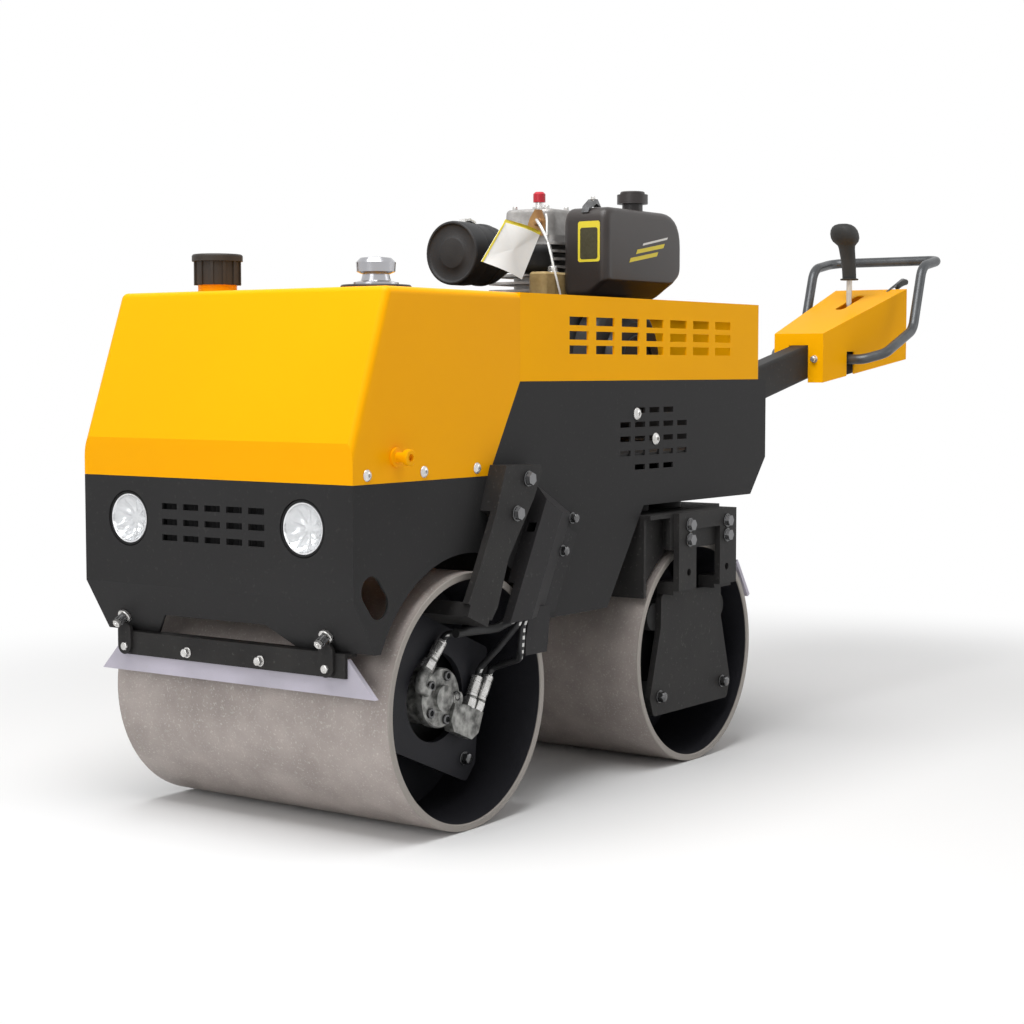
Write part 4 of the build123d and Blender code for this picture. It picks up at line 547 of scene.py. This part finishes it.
# Hood: one welded cover of 4 mm sheet over the tanks, in a thick gloss enamel with
# a fine orange peel. Three zinc screws a side hold it, with a painted lashing stud.
yellow_enamel = painted("yellow_enamel", (0.93, 0.41, 0.001), (0.90, 0.39, 0.001), 0.36, 0.00012,
                        specular=0.07, drift=2.2)
finish_nodes(yellow_enamel, "front_hood")
hood_side, hood_screw_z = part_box("front_hood")[1][0], 0.5925
stud_spot = (front_axle - 0.182, 0.618)
stud = turned(((0.0150, 0.0), (0.0155, 0.0015), (0.0150, 0.0040), (0.0085, 0.0052), (0.0080, 0.0200),
               (0.0125, 0.0212), (0.0130, 0.0235), (0.0130, 0.0290), (0.0115, 0.0305), (0.0060, 0.0305),
               (0.0055, 0.0240)), 28)
for side, sign in (("left", 1), ("right", -1)):
    places = [(sign * hood_side, front_axle + y, hood_screw_z) for y in (-0.252, -0.112, 0.028)]
    skin(f"hood_screws_{side}", stand(dome * 0.82, places, (sign, 0, 0)), zinc, "chassis")
    skin(f"lashing_stud_{side}", stand(stud, [(sign * hood_side, *stud_spot)], (sign, 0, 0)),
         yellow_enamel, "chassis")

# Engine guard: a slotted sheet surround of the engine bay, behind the hood. Its
# enamel is the hood's amber, painted lighter to stand in for the stronger light on it.
# Painted light: a lighter copy of the hood's amber enamel, standing in for more light.
painted_lit_enamel = painted("painted_lit_enamel", (0.97, 0.44, 0.001), (0.94, 0.42, 0.001), 0.4, 0.0002, specular=0.05,
                     drift=4.0)
finish_nodes(painted_lit_enamel, "engine_guard")

# Water filler: a moulded black screw cap on the hood's neck. Beside it a chromed
# tank breather stands on a rubber gasket.
cap_plastic = painted("cap_plastic", (0.036, 0.031, 0.027), (0.026, 0.022, 0.019), 0.5, 0.0003,
                      specular=0.25, drift=30.0)
finish_nodes(cap_plastic, "filler_cap", "cap_gasket")
chrome = painted("chrome", (0.50, 0.50, 0.52), (0.40, 0.40, 0.42), 0.20, 0.0001, metal=1.0, specular=0.5)
finish_nodes(chrome, "breather_cap")

# Headlamps: a bright moulded reflector with petals round a small centre, under a
# clear domed lens, held behind the panel's hole by a black ring.
reflector_silver = painted("reflector_silver", (0.86, 0.86, 0.87), (0.72, 0.72, 0.74), 0.18, 0.0001,
                           metal=0.7, specular=0.5, drift=120.0)
lens_clear = painted("lens_clear", (0.97, 0.98, 0.98), (0.95, 0.96, 0.96), 0.04, 0.00001, specular=0.5)
lens_shader = lens_clear.node_tree.nodes["Principled BSDF"]
lens_shader.inputs["Transmission Weight"].default_value = 0.92
lens_shader.inputs["IOR"].default_value = 1.12
# Depth of the bowl: a dish over the radius squared, whose petals rise by the size of
# cos(4 a) and a half sine over the radius from the centre's edge to the bowl's.
petals, petal_rise = 8, 0.005
bowl_depth, dish, centre_edge, bowl_edge = 0.018, 0.016, 0.008, 0.0385
radius = np.array((0.0010, 0.0050, 0.0080, 0.0110, 0.0150, 0.0190, 0.0230, 0.0270, 0.0310, 0.0350,
                   bowl_edge))[:, None]
turn = np.linspace(0.0, 2 * np.pi, 96, endpoint=False)
half_sine = np.sin(np.pi * np.clip((radius - centre_edge) / (bowl_edge - centre_edge), 0, 1))
inner = (bowl_depth - dish * (radius / bowl_edge) ** 2
         + petal_rise * half_sine * np.abs(np.cos(petals / 2 * turn)))
bowl = np.stack([radius * np.cos(turn), radius * np.sin(turn), inner], -1)
ring = turned(((0.0415, 0.0015), (0.0440, 0.0015), (0.0450, 0.0040), (0.0500, 0.0042), (0.0500, 0.0072),
               (0.0415, 0.0072)), 64)
lens = turned(((0.0020, 0.0004), (0.0140, 0.0006), (0.0280, 0.0014), (0.0385, 0.0028), (0.0412, 0.0042),
               (0.0412, 0.0056), (0.0385, 0.0044), (0.0280, 0.0030), (0.0140, 0.0022), (0.0020, 0.0020)), 64)
for side in ("left", "right"):
    low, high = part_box(f"headlamp_{side}")
    place, depth = [((low[0] + high[0]) / 2, low[1], (low[2] + high[2]) / 2)], high[1] - low[1]
    shell = turned(((0.0402, 0.0020), (0.0412, 0.0060), (0.0380, 0.0150), (0.0260, depth - 0.002),
                    (0.0100, depth - 0.001)), 96)
    skin(f"lamp_reflector_{side}", stand(np.concatenate([bowl, shell]), place, (0, 1, 0)),
         reflector_silver, "chassis", smooth=50.0)
    skin(f"lamp_ring_{side}", stand(ring, place, (0, 1, 0)), lamp_black, "chassis", hoop=True)
    lamp_lens = skin(f"lamp_lens_{side}", stand(lens, place, (0, 1, 0)), lens_clear, "chassis")
    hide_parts(f"headlamp_{side}")

# Engine: an air-cooled single diesel. The crankcase and the blower housing with its
# recoil starter are black enamelled castings; barrel and head are bare alloy.
engine_black = painted("engine_black", (0.032, 0.032, 0.033), (0.020, 0.020, 0.020), 0.4, 0.0005,
                       specular=0.3, drift=20.0)
finish_nodes(engine_black, "engine_block", "fan_housing")
cast_alloy = painted("cast_alloy", (0.46, 0.45, 0.44), (0.26, 0.25, 0.24), 0.45, 0.0008, metal=0.55,
                     specular=0.5, drift=30.0)
finish_nodes(cast_alloy, "engine_cylinder")
head_low, head_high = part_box("engine_cylinder")
cylinder_x, engine_y = (head_low[0] + head_high[0]) / 2, (head_low[1] + head_high[1]) / 2
cover_bolts = [(cylinder_x + x, engine_y - 0.008 + y, head_high[2] - 0.0006)
               for x in (-0.038, 0.038) for y in (-0.034, 0.034)]
bolts("rocker_cover_bolts", cover_bolts, (0, 0, 1), 0.010, zinc)
starter_low, starter_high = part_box("fan_housing")
crank_z = (starter_low[2] + starter_high[2]) / 2
# Ribs of the starter's cover: short bars round a circle, each square to its radius.
rib_count, rib_circle = 28, 0.052
rib = turned(((0.0022, 0.0), (0.0022, 0.0040), (0.0012, 0.0048)), 8) * (1.0, 7.0, 1.0)
ribs = []
for a in np.linspace(0.0, 2 * np.pi, rib_count, endpoint=False):
    spun = np.stack([rib[..., 0] * np.cos(a) - rib[..., 1] * np.sin(a),
                     rib[..., 0] * np.sin(a) + rib[..., 1] * np.cos(a), rib[..., 2]], -1)
    place = (starter_high[0] - 0.0005, engine_y + rib_circle * np.cos(a), crank_z + rib_circle * np.sin(a))
    ribs.append(stand(spun, [place], (1, 0, 0)))
skin("starter_ribs", np.concatenate(ribs), engine_black, "chassis")

# Decompression valve: a red knob on a stem, screwed into the rocker cover through a
# turned zinc collar. It is lifted while the engine is cranked.
valve_finish = painted("valve_red", (0.50, 0.018, 0.035), (0.42, 0.014, 0.025), 0.35, 0.0001, specular=0.4)
finish_nodes(valve_finish, "decompression_valve")
valve_low, valve_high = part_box("decompression_valve")
valve_foot = ((valve_low[0] + valve_high[0]) / 2, (valve_low[1] + valve_high[1]) / 2, valve_low[2])
collar = turned(((0.0132, 0.0), (0.0134, 0.0034), (0.0080, 0.0040), (0.0074, 0.0126), (0.0050, 0.0128)), 24)
skin("valve_collar", stand(collar, [valve_foot], (0, 0, 1)), zinc, "chassis")

# Injection pump: a tan painted casting, with a plated delivery pipe that curves
# over to the injector on the head.
pump_tan = painted("pump_tan", (0.46, 0.34, 0.16), (0.34, 0.24, 0.10), 0.5, 0.0008, specular=0.25, drift=60.0)
finish_nodes(pump_tan, "injection_pump")


def curve(points, steps):
    """Bezier curve through the first and last of four points: the sum of the points by
    the weights (1-t)^3, 3t(1-t)^2, 3t^2(1-t) and t^3."""
    t = np.linspace(0.0, 1.0, steps)[:, None]
    first, second, third, last = np.array(points, float)
    return (1 - t) ** 3 * first + 3 * t * (1 - t) ** 2 * second + 3 * t ** 2 * (1 - t) * third + t ** 3 * last


pump_low, pump_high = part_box("injection_pump")
pump_x, pump_y, pump_z = (pump_low[0] + pump_high[0]) / 2, (pump_low[1] + pump_high[1]) / 2, pump_high[2]
bolts("pump_union", [(pump_x, pump_y, pump_z - 0.0005)], (0, 0, 1), 0.017, zinc)
injector = (cylinder_x + 0.050, engine_y - 0.074, head_high[2] - 0.035)
pipe = curve([(pump_x, pump_y, pump_z + 0.010), (pump_x, pump_y, pump_z + 0.075),
              (injector[0], injector[1] - 0.060, injector[2] + 0.030), injector], 30)
skin("injection_pipe", piped(pipe, 0.003), zinc, "chassis")
bolts("injector_union", [injector], (0, -1, 0.2), 0.014, zinc)

# Fuel tank: a blown black tank with a soft sheen and a cap of the same plastic. Its
# front top edge is held by a lug.
tank_black = painted("tank_black", (0.034, 0.028, 0.026), (0.022, 0.018, 0.017), 0.38, 0.0004,
                     specular=0.4, drift=8.0)
finish_nodes(tank_black, "fuel_cap")
tank_low, tank_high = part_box("fuel_tank")


def soft_outline(corners, steps=8):
    """Closed outline with blended corners. Each row of corners is y, z and reach: a
    parabola leaves one side at that distance before the corner and meets the other as
    far behind it, (1-t)^2 start + 2t(1-t) corner + t^2 end."""
    corners = np.array(corners)
    point, reach = corners[:, None, :2], corners[:, None, 2:]
    before, behind = np.roll(point, 1, 0) - point, np.roll(point, -1, 0) - point
    start = point + reach * before / np.linalg.norm(before, axis=2, keepdims=True)
    end = point + reach * behind / np.linalg.norm(behind, axis=2, keepdims=True)
    t = np.linspace(0.0, 1.0, steps)[:, None]
    return ((1 - t) ** 2 * start + 2 * t * (1 - t) * point + t ** 2 * end).reshape(-1, 2)


# The shell is that outline swept across the machine: it shrinks in a quarter round at
# both ends, and towards the outer side its bottom is tucked up by a smooth step.
tank_outline = soft_outline((
    (tank_low[1], tank_low[2], 0.014), (tank_high[1] - 0.034, tank_low[2], 0.014),
    (tank_high[1], tank_low[2] + 0.048, 0.016), (tank_high[1], tank_high[2], 0.064),
    (tank_low[1], tank_high[2], 0.028),
))
tank_middle = (tank_outline.min(0) + tank_outline.max(0)) / 2
tank_half = (tank_outline.max(0) - tank_outline.min(0)) / 2
edge, flat_rings = 0.015, 6
tuck_wide, tuck_high, tuck = 0.050, 0.060, 0.028
quarter = np.linspace(0.0, np.pi / 2, 7)
tank_x = np.concatenate([
    tank_low[0] + edge * (1 - np.cos(quarter)),
    np.linspace(tank_low[0] + 0.05, tank_high[0] - 0.02, flat_rings),
    tank_high[0] - edge + edge * np.sin(quarter),
])
inset = np.concatenate([edge * (1 - np.sin(quarter)), np.zeros(flat_rings), edge * (1 - np.cos(quarter))])
shrink = 1 - inset[:, None, None] / tank_half
ring_y, ring_z = np.moveaxis(tank_middle + (tank_outline - tank_middle) * shrink, 2, 0)
step = np.clip((tank_x - tank_high[0] + tuck_wide) / tuck_wide, 0.0, 1.0)[:, None]
near_bottom = np.clip(1 - (ring_z - tank_low[2]) / tuck_high, 0.0, 1.0)
ring_z = ring_z + tuck * step ** 2 * (3 - 2 * step) * near_bottom ** 1.5
tank_rings = np.stack([np.broadcast_to(tank_x[:, None], ring_y.shape), ring_y, ring_z], -1)
tank_shell = skin("tank_shell", tank_rings[None], tank_black, "chassis", smooth=40.0)
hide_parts("fuel_tank")

# Tank stickers: three plain stripes in yellow and white on the tank's outer side,
# and a blank dark label in a yellow frame on its front. All are thin printed film.
sticker_yellow = painted("sticker_yellow", (0.74, 0.62, 0.05), (0.68, 0.56, 0.04), 0.4, 0.0001, specular=0.3)
sticker_white = painted("sticker_white", (0.72, 0.72, 0.70), (0.66, 0.66, 0.64), 0.4, 0.0001, specular=0.3)
sticker_dark = painted("sticker_dark", (0.06, 0.055, 0.03), (0.045, 0.04, 0.02), 0.45, 0.0001, specular=0.3,
                       drift=200.0)


def film(name, outline, thick, finish):
    """A flat piece, a sticker or a strip: its outline, and the same one moved by thick."""
    outline = np.array(outline, float)
    skin(name, np.stack([outline, outline + thick])[None], finish, "chassis")


def band(y, z, long, wide, rise):
    """Outline of a slanting stripe on the tank's outer side from its low front corner:
    the far end lies higher by rise, and both ends are cut on the slant."""
    x, slant = tank_high[0], 0.6 * wide
    return [(x, y, z), (x, y + long, z + rise), (x, y + long + slant, z + rise + wide),
            (x, y + slant, z + wide)]


def label(x0, x1, z0, z1, y, cut=0.003):
    """Outline of an upright label across the machine, with cut corners."""
    return [(x0 + cut, y, z0), (x1 - cut, y, z0), (x1, y, z0 + cut), (x1, y, z1 - cut),
            (x1 - cut, y, z1), (x0 + cut, y, z1), (x0, y, z1 - cut), (x0, y, z0 + cut)]


film_thick, stripe_y, stripe_rise = 0.0003, front_axle + 0.650, 0.016
for name, y, z, long, wide, finish in (
    ("tank_stripe_low", 0.000, 0.956, 0.100, 0.0085, sticker_yellow),
    ("tank_stripe_middle", 0.024, 0.973, 0.100, 0.0085, sticker_yellow),
    ("tank_stripe_high", 0.048, 0.990, 0.090, 0.0045, sticker_white),
):
    film(name, band(stripe_y + y, z, long, wide, stripe_rise), (film_thick, 0, 0), finish)
tank_front = tank_low[1]
film("label_frame", label(0.129, 0.178, 0.955, 1.031, tank_front), (0, -film_thick, 0),
     sticker_yellow)
film("label_field", label(0.134, 0.173, 0.960, 1.019, tank_front - film_thick), (0, -film_thick, 0),
     sticker_dark)

# Tank lug: a short pressed clip of blackened steel at the tank's front top edge,
# held by a small zinc screw.
lug = [(0.135, tank_front + y, z) for y, z in
       ((0.0015, 1.048), (0.006, 1.060), (0.026, 1.074), (0.034, 1.074), (0.046, 1.060), (0.030, 1.0655),
        (0.014, 1.057))]
film("tank_lug", lug, (0.016, 0, 0), bolt_black)
bolts("tank_lug_screw", [(0.143, tank_front + 0.030, 1.0735)], (0, 0, 1), 0.008, zinc)

# Stop wire: a white-sheathed wire drawn tight from the head down to the deck. A
# blank card of white board with a yellow edge hangs beside it.
sheath_white = painted("sheath_white", (0.80, 0.80, 0.78), (0.70, 0.70, 0.68), 0.45, 0.0001, specular=0.3)
from_head = [(0.030, front_axle + 0.607, 1.052), (0.036, front_axle + 0.604, 1.042),
             (0.045, front_axle + 0.587, 1.022), (0.047, front_axle + 0.586, 1.012)]
to_deck = [(0.048, front_axle + 0.582, 1.008), (0.085, front_axle + 0.541, 0.975),
           (0.100, front_axle + 0.538, 0.930), (0.100, front_axle + 0.566, 0.866)]
wire = np.concatenate([curve(from_head, 14), curve(to_deck, 24)])
skin("stop_wire", piped(wire, 0.0021, 12), sheath_white, "chassis")
card_white = painted("card_white", (0.90, 0.90, 0.88), (0.84, 0.84, 0.82), 0.6, 0.0001, specular=0.2,
                     drift=12.0)
# Corners of the card: low front, low rear, high rear and high front.
card_corners = np.array([(x, front_axle + y, z) for x, y, z in
                         ((0.115, 0.281, 0.9444), (0.115, 0.406, 0.917), (0.085, 0.511, 1.0107),
                          (0.085, 0.397, 1.0269))])
card_bow, card_thick = 0.007, 0.0005


def card(u0, u1, v0, v1, lift):
    """Closed skin of part of the card: corners blended by u and v, bowed out along x by
    card_bow times sin(pi u), once on its face and once card_thick behind. Each face is its
    rim, and the rim drawn in to a small flat middle."""
    u, v = np.meshgrid(np.linspace(u0, u1, 14), np.linspace(v0, v1, 10))
    a, b, c, d = card_corners
    flat = ((1 - u) * (1 - v))[..., None] * a + (u * (1 - v))[..., None] * b \
        + (u * v)[..., None] * c + ((1 - u) * v)[..., None] * d
    flat[..., 0] += card_bow * np.sin(np.pi * u) + lift
    rim = np.concatenate([flat[0, :-1], flat[:-1, -1], flat[-1, :0:-1], flat[:0:-1, 0]])
    middle = flat.reshape(-1, 3).mean(axis=0)
    small = middle + 0.02 * (rim - middle)
    small[:, 0] = middle[0]
    back = (-card_thick, 0.0, 0.0)
    return np.stack([small + back, rim + back, rim, small])[None]


edge_from, side_wide = 0.93, 0.035
skin("hang_card", card(0.0, 1.0, 0.0, edge_from, 0.0), card_white, "chassis")
skin("hang_card_edge", card(0.0, 1.0, edge_from, 1.0, 0.0), sticker_yellow, "chassis")
skin("hang_card_side", card(0.0, side_wide, 0.0, edge_from, 0.0006), sticker_yellow, "chassis")

# Decompression bracket: a small brass-coloured plate in front of the head, with its
# bolt, under the red knob.
brass = painted("brass", (0.42, 0.24, 0.09), (0.26, 0.13, 0.05), 0.35, 0.0003, metal=0.6, specular=0.5,
                drift=40.0)
head_front, plate_thick = head_low[1], 0.004
plate = [(x, head_front - 0.0004, z) for x, z in
         ((-0.016, 1.014), (0.030, 1.010), (0.033, 1.034), (0.022, 1.060), (0.008, 1.062), (-0.004, 1.046))]
film("decompression_plate", plate, (0, -plate_thick, 0), brass)
bolts("decompression_bolt", [(0.016, head_front - 0.0042, 1.036)], (0, -1, 0), 0.012, brass)

# Air cleaner: a black moulded cup under a pressed lid with a rolled rim, a sunk face
# and a faint round step. A bright spring catch holds the lid on top.
cleaner_plastic = painted("cleaner_plastic", (0.030, 0.030, 0.031), (0.021, 0.021, 0.022), 0.55, 0.0005,
                          specular=0.25, drift=30.0)
finish_nodes(cleaner_plastic, "air_cleaner")
cleaner_low, cleaner_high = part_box("air_cleaner")
cleaner_x, cleaner_z = (cleaner_low[0] + cleaner_high[0]) / 2, (cleaner_low[2] + cleaner_high[2]) / 2
lid = turned(((0.0560, -0.0360), (0.0580, -0.0345), (0.0584, -0.0330), (0.0584, -0.0010), (0.0576, 0.0034),
              (0.0556, 0.0050), (0.0534, 0.0046), (0.0516, 0.0014), (0.0490, 0.0006), (0.0300, 0.0010),
              (0.0285, 0.0024), (0.0260, 0.0030)), 56)
skin("cleaner_lid", stand(lid, [(cleaner_x, cleaner_low[1], cleaner_z)], (0, -1, 0)), cleaner_plastic,
     "chassis", smooth=50.0)
catch_x, catch_wide = cleaner_x - 0.006, 0.014
catch = [(catch_x, cleaner_low[1] + y, cleaner_high[2] + z) for y, z in
         ((0.026, 0.001), (0.029, 0.006), (0.044, 0.0075), (0.060, 0.003), (0.063, -0.002), (0.058, -0.001),
          (0.044, 0.0035), (0.031, 0.002))]
film("cleaner_catch", catch, (catch_wide, 0, 0), zinc)

# Muffler: a box pressed and welded from steel sheet. It is left bare, and heat has
# dulled and tinted it.
muffler_steel = painted("muffler_steel", (0.22, 0.20, 0.18), (0.12, 0.10, 0.09), 0.5, 0.0006, metal=0.6,
                        specular=0.5, drift=12.0)
finish_nodes(muffler_steel, "muffler")

# Handle: a black box beam on a bracket at the rear panel, a folded control box on
# top in the engine guard's enamel, the hood's amber painted lighter, plated levers and a bent tube for both
# hands.
finish_nodes(frame_black, "handle_bracket", "handle_beam")
# The control box takes the guard's lighter copy of the hood's amber: painted light.
finish_nodes(painted_lit_enamel, "control_box")
grip_grey = painted("grip_grey", (0.10, 0.105, 0.11), (0.065, 0.068, 0.072), 0.34, 0.0002, metal=0.5,
                    specular=0.4, drift=20.0)
finish_nodes(grip_grey, "grip_bar")
lever_steel = painted("lever_steel", (0.62, 0.58, 0.52), (0.48, 0.44, 0.39), 0.3, 0.0001, metal=0.7,
                      specular=0.5, drift=40.0)
finish_nodes(lever_steel, "drive_lever")
finish_nodes(bolt_black, "throttle_lever")

# Lever grip: moulded black rubber on a flange, waisted, with a rounded head that
# leans forward. It is pushed over the plated stem.
rubber = painted("grip_rubber", (0.040, 0.040, 0.039), (0.026, 0.026, 0.025), 0.55, 0.0009, specular=0.25,
                 drift=25.0)
lever_low, lever_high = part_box("lever_grip")
flange_half = 0.0225
# Each row: height, half width, half depth, forward shift, power of the outline.
grip_rows = np.array((
    (0.0000, 0.0215, 0.0215, 0.000, 2.0), (0.0010, flange_half, flange_half, 0.000, 2.0),
    (0.0035, flange_half, flange_half, 0.000, 2.0), (0.0048, 0.0172, 0.0172, 0.000, 2.0),
    (0.0300, 0.0172, 0.0172, 0.003, 2.1), (0.0550, 0.0182, 0.0180, 0.009, 2.2),
    (0.0780, 0.0196, 0.0186, 0.016, 2.3), (0.0850, 0.0212, 0.0198, 0.018, 2.3),
    (0.0900, 0.0262, 0.0232, 0.020, 2.4), (0.0955, 0.0312, 0.0266, 0.023, 2.6),
    (0.1030, 0.0338, 0.0286, 0.026, 2.8), (0.1130, 0.0340, 0.0288, 0.030, 2.8),
    (0.1220, 0.0322, 0.0274, 0.033, 2.7), (0.1300, 0.0276, 0.0236, 0.036, 2.5),
    (0.1352, 0.0210, 0.0180, 0.038, 2.3), (0.1378, 0.0120, 0.0105, 0.039, 2.1),
))
# Each ring is a superellipse: half width * cos and half depth * sin, each to the
# power 2 / n with its sign kept.
height, half_wide, half_deep, forward, power = grip_rows.T[:, :, None]
around = np.linspace(0.0, 2 * np.pi, 48, endpoint=False)
wide = half_wide * np.sign(np.cos(around)) * np.abs(np.cos(around)) ** (2 / power)
deep = half_deep * np.sign(np.sin(around)) * np.abs(np.sin(around)) ** (2 / power)
grip_y = lever_high[1] - flange_half - forward + deep
grip_rings = np.stack([wide, grip_y, lever_low[2] + height + 0 * deep], -1)
lever_grip = skin("lever_grip_moulded", grip_rings[None], rubber, "handle", smooth=50.0)
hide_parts("lever_grip")

# Throttle sleeve: black rubber pushed over the tip of the flat steel lever. Both its
# ends are drawn in to a little over half their width.
throttle_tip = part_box("throttle_lever")[1]
sleeve = curve([(0.055, throttle_tip[1] - y, throttle_tip[2] - z) for y, z in
                ((0.062, 0.0235), (0.045, 0.0160), (0.022, 0.0090), (0.004, 0.0085))], 16)
sleeve_rings = piped(sleeve, 0.0078, 16)
sleeve_ends = sleeve[[0, -1]][None, :, None]
end_share = 0.55
sleeve_rings = np.concatenate([
    sleeve_ends[:, :1] + end_share * (sleeve_rings[:, :1] - sleeve_ends[:, :1]),
    sleeve_rings[:, 1:-1],
    sleeve_ends[:, 1:] + end_share * (sleeve_rings[:, -1:] - sleeve_ends[:, 1:]),
], axis=1)
skin("throttle_sleeve", sleeve_rings, rubber, "handle", smooth=60.0)

# Saddles: cut steel plates, sprayed black, that hold the bent tube to the beam on
# both sides inside the control box. One zinc bolt stands in the box's front face.
grip_low, grip_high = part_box("grip_bar")
saddle_x, saddle_thick = 0.058, 0.006
saddle_y, bar_z = grip_high[1] - 0.3675, grip_low[2] + 0.012
for side, sign in (("left", 1), ("right", -1)):
    saddle = np.array([(sign * saddle_x, saddle_y + y, bar_z + z) for y, z in
                       ((-0.034, -0.038), (-0.030, -0.042), (0.060, -0.030), (0.064, -0.026),
                        (0.064, 0.026), (0.058, 0.032), (-0.028, 0.032), (-0.034, 0.026))])
    skin(f"bar_saddle_{side}", np.stack([saddle, saddle + (sign * saddle_thick, 0, 0)])[None], frame_black,
         "handle")
box_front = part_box("control_box")[0][1]
bolts("box_bolt", [(0.042, box_front, 0.777)], (0, -1, 0), 0.013, zinc, body="handle")
